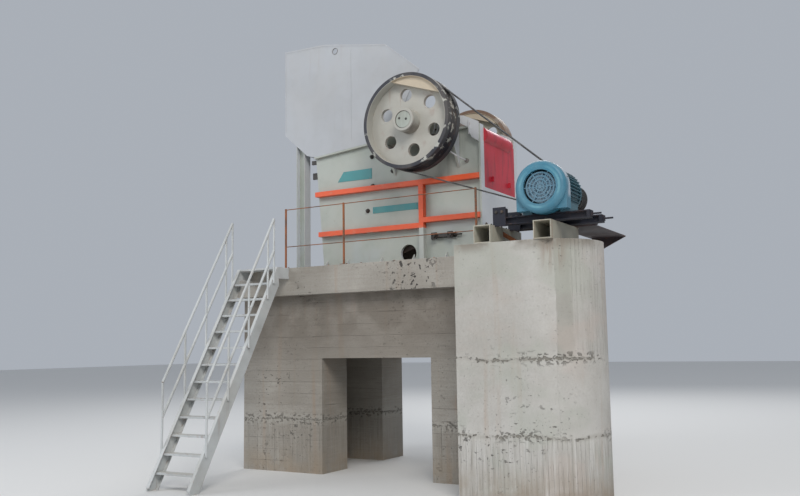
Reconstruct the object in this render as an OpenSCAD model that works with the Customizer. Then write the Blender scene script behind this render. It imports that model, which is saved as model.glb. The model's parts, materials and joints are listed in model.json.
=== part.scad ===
// Jaw crusher on its concrete foundation, with motor, belts, feed hopper and access stair.
// Lengths are millimetres. Each piece is drawn with X = 0 on the eccentric shaft's axis,
// Y = 0 on the crusher's mid-plane and Z = 0 on the ground, then placed() moves the origin
// to the middle of the whole plant's ground area. X runs from the feed end to the motor.

/* [Foundation] */
// Height of the platform above the ground
platform_z = 3250; // [2800:10:3900]
// Height of the edge beams along the platform
beam_h = 440; // [300:10:600]
// Half of the platform's width
platform_half = 1455; // [1400:5:1700]
// How far the edge beams stand out over the walls
beam_overhang = 200; // [80:5:260]
// Thickness of the two long walls
wall_t = 700; // [500:10:760]
// Distance from the shaft axis to the feed end of the platform
platform_feed = 3250; // [3100:10:3800]
// Distance from the shaft axis to the motor pier
platform_motor = 1265; // [1220:5:1400]
// Thickness of the end wall at the feed end
feed_end_wall_t = 800; // [400:10:900]
// Thickness of the end wall at the motor end
motor_end_wall_t = 365; // [250:5:450]
// Distance from the shaft axis to the doorway's feed-side jamb
door_feed = 1660; // [1400:10:2000]
// Distance from the shaft axis to the doorway's motor-side jamb
door_motor = 300; // [100:10:600]
// Height of the doorways
door_h = 1800; // [1700:10:2200]
// Discharge opening's feed-side edge, measured from the shaft axis
discharge_feed = 2150; // [1900:10:2250]
// Discharge opening's motor-side edge, measured from the shaft axis
discharge_motor = 1000; // [970:5:1100]

/* [Motor pier] */
// Width of the pier along the crusher
pier_w = 1755; // [1700:5:2200]
// Distance from the mid-plane to the pier's front face
pier_front = 2345; // [2250:5:2600]
// Depth of the pier from front to back; its free end is a half round of this width
pier_d = 1520; // [1460:5:1700]
// Step of the pier's top above the platform
pier_step = 40; // [0:5:120]

/* [Crusher frame] */
// Distance from the mid-plane to the outside of a side plate
side_half = 640; // [620:5:760]
// Thickness of the side plates
side_t = 50; // [30:1:60]
// Distance from the shaft axis to the front edge at the base
frame_front = 2035; // [2000:1:2200]
// How far the front edge leans out at its top
frame_lean = 165; // [100:1:200]
// Distance from the shaft axis to the rear edge
frame_rear = 940; // [900:1:980]
// Height of the front edge
frame_front_h = 1963; // [1800:1:2100]
// Height of the rear edge
frame_rear_h = 2105; // [2080:1:2400]
// Distance from the shaft axis to the bend in the top edge
top_bend_x = 1006; // [800:1:1300]
// Height of the bend in the top edge
top_bend_h = 2072; // [1900:1:2100]
// Height of the shaft axis above the platform
shaft_h = 2140; // [2110:5:2260]
// Width of the flange along the top edge
top_flange_w = 60; // [30:1:90]
// Thickness of the top and rear flanges
flange_t = 30; // [15:1:45]
// Width of the foot flange along the base
foot_w = 120; // [80:1:150]
// Thickness of the foot flange
foot_t = 40; // [20:1:60]
// Width of the rear flange, outwards from the side plate
rear_flange_w = 75; // [40:1:95]
// Height of the stiffening ribs on the side plates
rib_h = 80; // [50:1:110]
// Depth of the stiffening ribs
rib_d = 100; // [60:1:140]
// Height of the upper rib's middle above the platform
upper_rib_z = 1300; // [1200:1:1500]
// Height of the feed-end lower rib's middle
lower_rib_z = 612; // [560:1:700]
// Height of the motor-end lower rib's middle
rear_rib_z = 692; // [650:1:860]
// Distance from the shaft axis to the vertical rib's middle
vertical_rib_x = 108; // [90:1:300]
// Radius of the access hole low in each side plate
access_r = 142; // [60:1:140]
// Distance from the shaft axis to the access hole
access_x = 397; // [360:1:600]
// Height of the access hole's middle
access_z = 190; // [160:1:300]

/* [Crushing chamber] */
// Depth of the ribbed front wall
front_wall_d = 320; // [220:1:380]
// Thickness of the front wall's plate
front_wall_t = 70; // [40:1:100]
// Height of the chamber's lower edge above the platform
chamber_low = 200; // [150:5:300]
// Height of the chamber's upper edge above the platform
chamber_top = 1900; // [1800:5:1950]
// Thickness of the toothed jaw plates without their teeth
jaw_t = 120; // [80:1:150]
// Height of the jaw plates' teeth
tooth_h = 45; // [25:1:60]
// Number of teeth across a jaw plate
tooth_count = 12; // [8:1:14]
// Width of the jaw plates
jaw_w = 1060; // [1000:5:1080]
// Gape between the tooth tips at the top
gape = 900; // [700:5:980]
// Gap between the tooth tips at the discharge
discharge_gap = 150; // [100:5:220]
// Thickness of the cheek plates
cheek_t = 30; // [15:1:32]

/* [Shaft, wheels and pitman] */
// Throw of the eccentric
throw = 16; // [8:1:22]
// Direction of the eccentric at rest, from +X upwards: nearly opposite the counterweights
throw_angle = 264; // [240:1:300]
// Radius of the shaft in its bearings
shaft_r = 110; // [80:1:130]
// Radius of the eccentric journal
journal_r = 150; // [140:1:190]
// Distance from the mid-plane to the outer end of a hub
hub_end = 1440; // [1420:1:1480]
// Radius of the belt wheel
wheel_r = 743; // [700:1:800]
// Width of the belt wheel's rim
wheel_w = 390; // [340:1:400]
// Distance from the mid-plane to the inner face of the belt wheel's rim
wheel_in = 1000; // [995:1:1020]
// Radius of the far wheel
far_wheel_r = 697; // [660:1:780]
// Width of the far wheel's rim
far_wheel_w = 260; // [230:1:330]
// Distance from the mid-plane to the inner face of the far wheel's rim
far_wheel_in = 930; // [915:1:960]
// Distance from the mid-plane to the outer end of the far hub
far_hub_end = 1245; // [1220:1:1300]
// Thickness of the rims
rim_t = 60; // [40:1:90]
// Thickness of the wheels' webs
web_t = 60; // [40:1:90]
// How far the belt wheel's web lies behind its rim's outer face
web_set = 155; // [80:1:155]
// How far the far wheel's web lies behind its rim's outer face
far_web_set = 85; // [60:1:90]
// Gap between a bearing housing and the hub beside it
hub_gap = 12; // [6:1:20]
// Radius of the hubs
hub_r = 182; // [150:1:200]
// Number of holes in a wheel's web
web_holes = 6; // [4:1:8]
// Radius of the holes in a web
web_hole_r = 102; // [50:1:110]
// Distance from the axis to the holes in a web
web_hole_pitch_r = 443; // [380:1:520]
// Angle of the first web hole
web_hole_angle = 38; // [0:1:60]
// Distance from the axis to the counterweight's straight edge
weight_chord = 526; // [515:1:620]
// Direction of the counterweight, from +X upwards
weight_angle = 71; // [0:1:180]
// Depth of the counterweight's inner face behind the rim's edge
weight_inset = 15; // [5:1:60]
// Radius of the bearing housings
housing_r = 290; // [240:1:320]
// Distance from the mid-plane to a housing's outer face
housing_out = 980; // [900:1:1010]
// Distance from the shaft axis to the pedestal's feed end
pedestal_feed = 645; // [500:1:700]
// Distance from the shaft axis to the pedestal's motor end
pedestal_motor = 545; // [450:1:600]
// Depth of the bearing pedestals, outwards from the side plate
pedestal_d = 260; // [150:1:300]
// Radius of the pitman's barrel
barrel_r = 410; // [380:1:440]
// Half of the pitman's width
pitman_half = 540; // [520:1:545]
// Thickness of the toggle plate
toggle_t = 90; // [50:1:120]
// Half of the toggle plate's width
toggle_half = 450; // [350:1:500]
// Height of the toggle plate's middle above the platform
toggle_z = 425; // [400:1:500]
// Distance from the shaft axis to the pitman's toggle seat
toggle_seat_x = 330; // [280:1:420]
// Distance from the shaft axis to the toggle block's face
block_x = 225; // [150:1:300]
// Radius of the tension rod
tension_r = 22; // [14:1:32]
// Running clearance between round pieces that turn in each other
running_gap = 0.3; // [0.1:0.1:1]
// Gap between a wear plate and the face that carries it
liner_gap = 0.3; // [0.1:0.1:0.8]
// Gap between the hopper's lower edges and the flanges that they stand on
seat_gap = 0.4; // [0.2:0.1:0.8]

/* [Belts] */
// Number of belts
belt_count = 5; // [3:1:6]
// Distance between neighbouring belts
belt_pitch = 36; // [30:1:40]
// Width of a belt
belt_w = 22; // [14:1:24]
// Thickness of a belt
belt_t = 16; // [10:1:18]
// Depth of the belt grooves
groove_depth = 20; // [18:1:26]
// Radius of the motor pulley
pulley_r = 205; // [150:1:215]

/* [Motor] */
// Distance from the crusher's shaft axis to the motor's axis
motor_x = 2500; // [2350:5:2600]
// Distance from the mid-plane to the fan cover's face
motor_front = 2380; // [2300:5:2450]
// Height of the motor's axis above its feet
motor_axis_h = 315; // [280:1:355]
// Radius of the fan cover
fan_r = 338; // [300:1:350]
// Length of the fan cover
fan_l = 200; // [140:1:240]
// Radius of the fan cover's grille
grille_r = 220; // [160:1:250]
// Radius of the motor's barrel without its fins
barrel_motor_r = 262; // [230:1:280]
// Height of the motor's cooling fins
fin_h = 44; // [20:1:50]
// Number of cooling fins
fin_count = 40; // [24:1:48]
// Length of the finned barrel
finned_l = 570; // [400:5:680]
// Length of the motor's drive-end shield
shield_l = 230; // [150:5:260]
// Width and height of the box beams under the motor
box_beam = 238; // [180:1:260]
// Wall of the box beams
box_wall = 12; // [6:1:16]
// Length of the box beams
box_beam_l = 1060; // [980:5:1300]
// Length of the deck sheet behind the motor
deck_l = 1450; // [1200:5:1500]
// Width of the deck sheet
deck_w = 510; // [400:5:560]
// Height of the flap at the deck sheet's far end
deck_flap_h = 190; // [100:5:240]
// Distance from the shaft axis to the first box beam's middle
box_beam_1 = 1675; // [1600:5:1760]
// Distance from the shaft axis to the second box beam's middle
box_beam_2 = 2505; // [2400:5:2600]
// Height of the slide rails
rail_h = 102; // [90:1:160]
// Width of the slide rails
rail_w = 120; // [80:1:150]
// Length of the slide rails
rail_l = 1260; // [1100:5:1300]
// Distance between the slide rails' middles
rail_gap = 500; // [420:5:560]
// How far the rails' middle lies before the motor's middle
rail_shift = 80; // [0:5:120]

/* [Hopper] */
// Distance from the mid-plane to the outside of a hopper wall
hopper_half = 700; // [690:1:720]
// Thickness of the hopper's plates
hopper_t = 14; // [8:1:20]
// Distance from the shaft axis to the hopper's feed end
hopper_feed = 2822; // [2700:1:3000]
// Height of the hopper's top above the platform
hopper_top = 3940; // [3700:1:4100]
// Height of the feed end's lower corner
hopper_low = 2423; // [2250:1:2500]
// Length of the hopper walls' level top
rim_level_l = 844; // [600:1:1000]
// How far that top falls
rim_level_fall = 18; // [0:1:60]
// Length of the near wall's sloping top
rim_slope_l = 1224; // [1000:1:1400]
// How far the sloping top falls
rim_slope_fall = 227; // [100:1:300]
// Length of the near wall's last, steeper edge
rim_end_l = 638; // [400:1:700]
// How far the steeper edge falls
rim_end_fall = 529; // [300:1:600]
// Length of the far wall's sloping top
far_slope_l = 780; // [500:1:900]
// How far the far wall's sloping top falls
far_slope_fall = 182; // [100:1:300]
// Distance from the shaft axis to the top of the hopper's back plate
back_plate_x = 862; // [820:1:900]
// How far the back plate's top lies below the hopper's top
back_plate_fall = 590; // [400:1:700]
// How far the back plate leans from top to foot
back_plate_lean = 200; // [100:1:260]
// Gap between the pitman's barrel and the near wall's lower end
guard_gap = 150; // [80:1:250]
// How far the hopper's ends stand above the shaft axis
end_rise = 190; // [100:1:260]
// How far the hopper reaches out beyond the crusher's front
chute_reach = 150; // [80:1:200]
// How far the chute floor's foot stands above the crusher's front
chute_rise = 43; // [20:1:100]
// Radius of the lifting holes
lift_hole_r = 50; // [30:1:60]
// Distance from the feed end to the lifting holes
lift_hole_x = 1070; // [900:1:1300]
// How far the lifting holes lie below the top
lift_hole_drop = 180; // [120:1:300]
// Width of the hopper legs
leg_w = 170; // [140:1:240]
// Distance from the shaft axis to the hopper legs
leg_x = 2500; // [2420:5:2600]

/* [Stair and rails] */
// Number of treads below the platform
tread_count = 12; // [10:1:15]
// Depth of each tread
tread_d = 150; // [120:1:155]
// Thickness of the treads
tread_t = 30; // [15:1:40]
// Going of each step
going = 148; // [130:1:200]
// Width of the stair over its stringers
stair_w = 820; // [700:5:1000]
// Distance from the shaft axis to the stair's feed-side stringer
stair_feed = 2980; // [2800:5:3100]
// Distance from the platform's edge to the stair's top nosing
landing_d = 259; // [120:1:350]
// Depth of the stringer channels
stringer_d = 180; // [140:1:220]
// Thickness of the stringer channels' web and flanges
stringer_t = 9; // [6:1:14]
// Width of the stringer channels' flanges
stringer_flange = 55; // [40:1:75]
// Height of the handrails above the line of nosings
handrail_h = 1000; // [850:5:1100]
// Radius of the handrail tubes
handrail_r = 20; // [14:1:26]
// Height of the guard rail above the platform
guard_h = 975; // [900:5:1150]
// Radius of the guard rail's posts
guard_post_r = 17; // [12:1:24]
// Radius of the guard rail's rods
guard_rod_r = 7; // [5:1:14]

/* [Hidden] */
$fn = 96;

concrete = [0.66, 0.64, 0.61];
body_white = [0.80, 0.84, 0.81];
rib_orange = [0.93, 0.38, 0.23];
pitman_red = [0.80, 0.12, 0.18];
bare_dark = [0.16, 0.16, 0.17];
worn_steel = [0.45, 0.44, 0.42];
motor_teal = [0.20, 0.48, 0.56];
rail_navy = [0.10, 0.12, 0.20];
beam_cream = [0.74, 0.74, 0.68];
hopper_grey = [0.68, 0.71, 0.74];
stair_white = [0.82, 0.84, 0.85];
rust_brown = [0.42, 0.28, 0.22];

beam_z = platform_z - beam_h;
wall_out = platform_half - beam_overhang;
wall_in = wall_out - wall_t;
pier_right = platform_motor + pier_w;
pier_top = platform_z + pier_step;

plate_in = side_half - side_t;
shaft_z = platform_z + shaft_h;
housing_fit = housing_r + running_gap;
web_y = wheel_in + wheel_w - web_set;
jaw_depth = jaw_t + tooth_h;
journal = [throw * cos(throw_angle), shaft_h + throw * sin(throw_angle)];
lean_angle = atan(frame_lean / frame_front_h);

rail_z = pier_top + box_beam;
motor_z = rail_z + rail_h + motor_axis_h;
motor_barrel_y = -motor_front + fan_l;
motor_shield_y = motor_barrel_y + finned_l;
motor_end_y = motor_shield_y + shield_l;
rail_mid_y = motor_barrel_y + (finned_l + shield_l) / 2 - rail_shift;
rail_x = motor_x - rail_l / 2 - 60;
screw_reach = 130;
screw_end = rail_x + rail_l + screw_reach;

belt_y = -(wheel_in + wheel_w / 2);
belt_span = (belt_count - 1) * belt_pitch;
groove_w = belt_w + 6;
belt_seat = groove_depth - running_gap;

rise = platform_z / (tread_count + 1);
stair_slope = atan(rise / going);
stair_top_y = -platform_half - landing_d;
stair_foot_y = stair_top_y - (tread_count + 1) * going;
stair_motor = stair_feed - stair_w;
post_r = 0.85 * handrail_r;

left_end = -max(platform_feed, stair_feed, hopper_feed);
right_end = max(pier_right, screw_end);
front_end = min(stair_foot_y, -pier_front);
back_end = max(platform_half, far_hub_end);
centre_x = (left_end + right_end) / 2;
centre_y = (front_end + back_end) / 2;

// Placing helpers
module placed() {
    translate([-centre_x, -centre_y, 0]) children();
}

module on_platform() {
    translate([0, 0, platform_z]) children();
}

module far_side() {
    mirror([0, 1, 0]) children();
}

// A box from its lowest to its highest corner
module block(low, high) {
    translate(low) cube(high - low);
}

// A profile in X and Z, extruded from y0 to y1
module along_y(y0, y1) {
    translate([0, y1, 0]) rotate([90, 0, 0]) linear_extrude(y1 - y0) children();
}

// A profile in Y and Z, extruded from x0 to x1
module along_x(x0, x1) {
    translate([x0, 0, 0]) rotate([90, 0, 90]) linear_extrude(x1 - x0) children();
}

// A round bar between two points
module bar(from, to, r) {
    way = to - from;
    length = norm(way);
    translate(from)
        rotate([0, acos(way[2] / length), atan2(way[1], way[0])])
            cylinder(r = r, h = length);
}

// Foundation
module near_wall_feed() placed() color(concrete)
    block([-platform_feed, -wall_out, 0], [-door_feed, -wall_in, beam_z]);

module near_wall_motor() placed() color(concrete)
    block([door_motor, -wall_out, 0], [platform_motor, -wall_in, beam_z]);

module near_lintel() placed() color(concrete)
    block([-door_feed, -wall_out, door_h], [door_motor, -wall_in, beam_z]);

module near_beam() placed() color(concrete)
    block([-platform_feed, -platform_half, beam_z], [platform_motor, -wall_in, platform_z]);

module far_wall_feed() placed() color(concrete)
    block([-platform_feed, wall_in, 0], [-door_feed, wall_out, beam_z]);

module far_wall_motor() placed() color(concrete)
    block([door_motor, wall_in, 0], [platform_motor, wall_out, beam_z]);

module far_lintel() placed() color(concrete)
    block([-door_feed, wall_in, door_h], [door_motor, wall_out, beam_z]);

module far_beam() placed() color(concrete)
    block([-platform_feed, wall_in, beam_z], [platform_motor, platform_half, platform_z]);

module end_wall_feed() placed() color(concrete)
    block([-platform_feed, -wall_in, 0], [-platform_feed + feed_end_wall_t, wall_in, beam_z]);

module end_wall_motor() placed() color(concrete)
    block([platform_motor - motor_end_wall_t, -wall_in, 0], [platform_motor, wall_in, beam_z]);

module deck_slab_feed() placed() color(concrete)
    block([-platform_feed, -wall_in, beam_z], [-discharge_feed, wall_in, platform_z]);

module deck_slab_motor() placed() color(concrete)
    block([discharge_motor, -wall_in, beam_z], [platform_motor, wall_in, platform_z]);

// The pier's plan ends in a half round
module pier_plan() {
    round_r = pier_d / 2;
    translate([platform_motor, -pier_front])
        square([pier_w - round_r, pier_d]);
    translate([pier_right - round_r, -pier_front + round_r]) circle(round_r);
}

module motor_pier() placed() color(concrete)
    linear_extrude(pier_top) pier_plan();

// Stair: line of nosings runs from the ground to the platform
module stair_profile(drop, depth) {
    run = (tread_count + 1) * going;
    polygon([
        [stair_foot_y, -drop],
        [stair_top_y, platform_z - drop],
        [stair_top_y, platform_z - drop - depth],
        [stair_top_y - run, -drop - depth]
    ]);
}

// Stringer channel: web outside, flanges turned in to the treads, ends cut level and upright
module stringer(x_web, inward) {
    vertical_d = stringer_d / cos(stair_slope);
    vertical_t = stringer_t / cos(stair_slope);
    lift = 60;
    web_low = min(x_web, x_web + inward * stringer_t);
    flange_low = min(x_web, x_web + inward * stringer_flange);
    difference() {
        union() {
            along_x(web_low, web_low + stringer_t) stair_profile(-lift, vertical_d);
            along_x(flange_low, flange_low + stringer_flange) {
                stair_profile(-lift, vertical_t);
                stair_profile(vertical_d - vertical_t - lift, vertical_t);
            }
        }
        block([-platform_feed, stair_foot_y * 2, -vertical_d * 2], [0, 0, 0]);
        block([-platform_feed, stair_foot_y * 2, platform_z], [0, 0, platform_z * 2]);
    }
    block([web_low, stair_top_y, platform_z - stringer_d], [web_low + stringer_t, -platform_half, platform_z]);
    block([flange_low, stair_top_y, platform_z - stringer_d],
          [flange_low + stringer_flange, -platform_half, platform_z - stringer_d + stringer_t]);
}

module stair_stringer_feed() placed() color(stair_white) stringer(-stair_feed, 1);

module stair_stringer_motor() placed() color(stair_white) stringer(-stair_motor, -1);

module stair_treads() placed() color(stair_white) {
    x0 = -stair_feed + stringer_t;
    x1 = -stair_motor - stringer_t;
    tread_lip = 15;
    for (k = [1 : tread_count])
        let (nosing = stair_foot_y + k * going)
            block([x0, nosing - tread_lip, k * rise - tread_t],
                  [x1, nosing - tread_lip + tread_d, k * rise]);
    block([x0, stair_top_y, platform_z - tread_t], [x1, -platform_half, platform_z]);
}

// Handrail: two slanted tubes on upright posts, joined by a hoop at the top
module handrail(x) {
    lower_h = handrail_h * 0.5;
    post_steps = [2, 5, 8, 11];
    top_y = stair_top_y - going;
    foot_y = stair_foot_y + 2 * going;
    slope = rise / going;
    function line_z(y) = (y - stair_foot_y) * slope;
    for (h = [handrail_h, lower_h])
        bar([x, foot_y, line_z(foot_y) + h], [x, top_y, line_z(top_y) + h], handrail_r);
    for (k = post_steps)
        let (y = stair_foot_y + k * going)
            bar([x, y, line_z(y) - 20], [x, y, line_z(y) + handrail_h], post_r);
    bar([x, top_y, line_z(top_y) - 20], [x, top_y, line_z(top_y) + handrail_h], post_r);
}

module handrail_feed() placed() color(stair_white) handrail(-stair_feed - post_r - seat_gap);

module handrail_motor() placed() color(stair_white) handrail(-stair_motor + post_r + seat_gap);

module guard_rail() placed() on_platform() color(rust_brown) {
    y = -platform_half + 3 * guard_post_r;
    posts = [-stair_motor - 100, -platform_feed / 2 + 500, platform_motor - 105];
    for (x = posts)
        translate([x, y, 0]) cylinder(r = guard_post_r, h = guard_h);
    for (z = [guard_h * 0.36, guard_h - 2 * guard_rod_r])
        bar([posts[0], y, z], [posts[2], y, z], guard_rod_r);
}

// Crusher frame
function front_x(z) = -frame_front - frame_lean * z / frame_front_h;

module side_outline() {
    polygon([
        [front_x(0), 0],
        [frame_rear, 0],
        [frame_rear, frame_rear_h],
        [-top_bend_x, top_bend_h],
        [front_x(frame_front_h), frame_front_h]
    ]);
}

module top_edge_strip() {
    difference() {
        side_outline();
        translate([0, -flange_t]) side_outline();
        translate([-platform_feed, -1]) square([2 * platform_feed, frame_front_h / 2]);
    }
}

module side_plate() {
    slot_x = block_x - 185;
    slot_l = 410;
    difference() {
        union() {
            along_y(-side_half, -plate_in) side_outline();
            along_y(-side_half - top_flange_w, -side_half) intersection() {
                top_edge_strip();
                translate([-platform_feed, frame_front_h - 2 * flange_t])
                    square([platform_feed + frame_rear, platform_feed]);
            }
            block([front_x(0), -side_half - foot_w, 0], [frame_rear, -side_half, foot_t]);
            block([frame_rear - flange_t, -side_half - rear_flange_w, 0],
                  [frame_rear, -side_half, frame_rear_h]);
            pedestal();
        }
        translate([0, 0, shaft_h]) rotate([90, 0, 0])
            cylinder(r = housing_fit, h = 4 * side_half, center = true);
        translate([-access_x, 0, access_z]) rotate([90, 0, 0])
            cylinder(r = access_r, h = 4 * side_half, center = true);
        block([slot_x, -2 * side_half, toggle_z - 34], [slot_x + slot_l, 0, toggle_z + 34]);
    }
}

// Bearing pedestal: a heavy seat on two tapered gussets
module pedestal() {
    seat_h = 420;
    gusset_t = 40;
    block([-pedestal_feed, -side_half - pedestal_d, shaft_h - seat_h / 2],
          [pedestal_motor, -side_half, shaft_h]);
    for (x = [-pedestal_feed, pedestal_motor - gusset_t])
        along_x(x, x + gusset_t)
            polygon([
                [-side_half, shaft_h],
                [-side_half - pedestal_d, shaft_h],
                [-side_half - pedestal_d, shaft_h - seat_h / 2],
                [-side_half, shaft_h - 1.6 * seat_h]
            ]);
}

module side_plate_near() placed() on_platform() color(body_white) side_plate();

module side_plate_far() placed() on_platform() color(body_white) far_side() side_plate();

module side_ribs() {
    out = -side_half - rib_d;
    half = rib_h / 2;
    vertical = -vertical_rib_x;
    color(rib_orange) {
        block([front_x(upper_rib_z) - 10, out, upper_rib_z - half],
              [frame_rear - flange_t, -side_half, upper_rib_z + half]);
        block([front_x(lower_rib_z), out, lower_rib_z - half],
              [vertical + half, -side_half, lower_rib_z + half]);
        block([vertical - half, out, rear_rib_z - half],
              [frame_rear - flange_t, -side_half, rear_rib_z + half]);
        block([vertical - half, out, foot_t], [vertical + half, -side_half, upper_rib_z]);
    }
}

module ribs_near() placed() on_platform() side_ribs();

module ribs_far() placed() on_platform() far_side() side_ribs();

// A slice of the front edge's slope, from z0 to z1 and from x0 to x1 behind the edge
module front_slice(z0, z1, x0, x1) {
    polygon([
        [front_x(z0) + x0, z0],
        [front_x(z0) + x1, z0],
        [front_x(z1) + x1, z1],
        [front_x(z1) + x0, z1]
    ]);
}

// Front wall: a leaning plate with level and upright stiffeners on its outside
module front_wall() placed() on_platform() color(body_white) {
    rib_back = front_wall_d - front_wall_t / 2;
    low = chamber_low - 60;
    stiffener_t = 40;
    level_step = (chamber_top - stiffener_t - low) / 4;
    along_y(-plate_in, plate_in) {
        front_slice(low, chamber_top, front_wall_d - front_wall_t, front_wall_d);
        for (k = [0 : 4])
            front_slice(low + k * level_step, low + k * level_step + stiffener_t, 20, rib_back);
    }
    for (y = [-plate_in / 2, 0, plate_in / 2])
        along_y(y - stiffener_t / 2, y + stiffener_t / 2)
            front_slice(low, chamber_top, 20, rib_back);
}

// Rear wall: plate, seat beam for the toggle block and a sill under the cover
rear_sill_z = 1130;
rear_wall_t = 60;
seat_beam_x = 520;

module rear_wall() placed() on_platform() color(body_white)
    difference() {
        union() {
            block([frame_rear - rear_wall_t, -plate_in, 0],
                  [frame_rear, plate_in, rear_sill_z]);
            block([seat_beam_x, -plate_in, toggle_z - 140],
                  [frame_rear - rear_wall_t, plate_in, toggle_z + 140]);
            block([frame_rear - 160, -plate_in, rear_sill_z - 40],
                  [frame_rear, plate_in, rear_sill_z]);
        }
        translate([0, 0, tension_z]) rotate([0, 90, 0])
            cylinder(r = tension_r + running_gap, h = 2 * frame_rear);
    }

cover_top = 1950;
cover_roll_r = 128;
roll_far_y = plate_in - 190;

// Rear cover: a bowed lid between the side plates, with a roll along its top edge
module rear_cover() placed() on_platform() color(pitman_red) {
    block([frame_rear - 20, -plate_in, rear_sill_z], [frame_rear, plate_in, cover_top]);
    along_y(-plate_in, roll_far_y)
        translate([frame_rear - 60, cover_top]) circle(cover_roll_r);
    for (side = [-1, 1])
        block([frame_rear, side * 330 - 12, rear_sill_z + 120],
              [frame_rear + 45, side * 330 + 12, rear_sill_z + 200]);
}

module bearing() {
    translate([0, 0, shaft_h]) rotate([90, 0, 0])
        difference() {
            union() {
                translate([0, 0, plate_in]) cylinder(r = housing_r, h = housing_out - plate_in);
                translate([0, 0, side_half + pedestal_d + 2])
                    cylinder(r = housing_r + 35, h = 38);
            }
            translate([0, 0, plate_in / 2]) cylinder(r = shaft_r + running_gap, h = housing_out);
        }
}

module bearing_near() placed() on_platform() color(body_white) bearing();

module bearing_far() placed() on_platform() color(body_white) far_side() bearing();

// Jaw plates: teeth run down the plate, drawn across Y and thickness
module jaw_section() {
    pitch = jaw_w / tooth_count;
    polygon(concat(
        [[jaw_w / 2, 0], [-jaw_w / 2, 0]],
        [for (k = [0 : tooth_count - 1], p = [[0.08, 0], [0.33, 1], [0.67, 1], [0.92, 0]])
            [-jaw_w / 2 + (k + p[0]) * pitch, jaw_t + p[1] * tooth_h]]
    ));
}

module jaw_plate(length) {
    linear_extrude(length) rotate(-90) jaw_section();
}

function fixed_back(z) = front_x(z) + front_wall_d;

module fixed_jaw_plate() placed() on_platform() color(worn_steel) {
    length = (chamber_top - chamber_low) / cos(lean_angle);
    translate([fixed_back(chamber_low) + liner_gap, 0, chamber_low])
        rotate([0, -lean_angle, 0])
            jaw_plate(length);
}

// The moving jaw's tooth tips run from the gape at the top to the discharge gap
moving_top_x = fixed_back(chamber_top) + jaw_depth + gape;
moving_low_x = fixed_back(chamber_low) + jaw_depth + discharge_gap;
moving_angle = atan((moving_top_x - moving_low_x) / (chamber_top - chamber_low));
moving_length = (chamber_top - chamber_low) / cos(moving_angle);
seat_low = [moving_low_x + jaw_depth * cos(moving_angle), chamber_low - jaw_depth * sin(moving_angle)];
seat_top = seat_low + moving_length * [sin(moving_angle), cos(moving_angle)];

module moving_jaw_plate() placed() on_platform() color(worn_steel)
    translate([seat_low[0] - liner_gap, 0, seat_low[1]])
        rotate([0, moving_angle, 0])
            rotate([0, 0, 180])
                jaw_plate(moving_length);

module cheek_outline() {
    polygon([
        [fixed_back(chamber_low) + jaw_depth, chamber_low],
        [fixed_back(chamber_top) + jaw_depth, chamber_top],
        [moving_top_x + 140, chamber_top],
        [moving_low_x + 140, chamber_low]
    ]);
}

module cheek_plates() placed() on_platform() color(worn_steel) {
    along_y(-plate_in, -plate_in + cheek_t) cheek_outline();
    along_y(plate_in - cheek_t, plate_in) cheek_outline();
}

// Pitman: barrel round the eccentric, body behind the moving jaw, toe with the toggle seat
module pitman() placed() on_platform() color(pitman_red)
    difference() {
        union() {
            translate([journal[0], 0, journal[1]]) rotate([90, 0, 0])
                cylinder(r = barrel_r, h = 2 * pitman_half, center = true);
            along_y(-pitman_half, pitman_half) polygon([
                seat_low,
                seat_top,
                [seat_top[0] + 40, shaft_h - 40],
                journal + 0.9 * barrel_r * [cos(150), sin(150)],
                journal + 0.9 * barrel_r * [cos(-35), sin(-35)],
                [-toggle_seat_x, toggle_z + 320],
                [-toggle_seat_x, toggle_z - 140],
                [-toggle_seat_x - 260, toggle_z - 230]
            ]);
        }
        translate([journal[0], 0, journal[1]]) rotate([90, 0, 0])
            cylinder(r = journal_r + running_gap, h = 4 * pitman_half, center = true);
    }

// The pitman swings back by up to twice the throw, so its toggle seat stands clear of the plate
seat_clearance = 2 * throw + 5;

module toggle_plate() placed() on_platform() color(worn_steel) {
    r = toggle_t / 2;
    x0 = -toggle_seat_x + seat_clearance + r;
    x1 = block_x - running_gap - r;
    along_y(-toggle_half, toggle_half) {
        translate([x0, toggle_z]) circle(r);
        translate([x1, toggle_z]) circle(r);
        translate([x0, toggle_z - r * 0.8]) square([x1 - x0, toggle_t * 0.8]);
    }
}

module toggle_block() placed() on_platform() color(bare_dark) {
    block([block_x, -plate_in, toggle_z - 100], [seat_beam_x, plate_in, toggle_z + 100]);
    for (side = [-1, 1])
        block([block_x - 150, min(side * plate_in, side * (side_half + 70)), toggle_z - 26],
              [block_x + 210, max(side * plate_in, side * (side_half + 70)), toggle_z + 26]);
}

tension_z = toggle_z - 190;

module tension_rod() placed() on_platform() color(bare_dark) {
    x0 = -toggle_seat_x + seat_clearance;
    plate_x = frame_rear;
    coils = 7;
    wire_r = 12;
    coil_pitch = 1.8 * wire_r;
    first_coil = 1.9 * wire_r;
    spring_l = (coils - 1) * coil_pitch + 2 * first_coil - wire_r;
    translate([x0, 0, tension_z]) rotate([0, 90, 0])
        cylinder(r = tension_r, h = plate_x + spring_l + 110 - x0);
    for (x = [plate_x, plate_x + spring_l])
        translate([x, 0, tension_z]) rotate([0, 90, 0]) cylinder(r = 66, h = wire_r);
    for (k = [0 : coils - 1])
        translate([plate_x + first_coil + k * coil_pitch, 0, tension_z]) rotate([0, 90, 0])
            rotate_extrude() translate([48, 0]) circle(wire_r);
}

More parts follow.
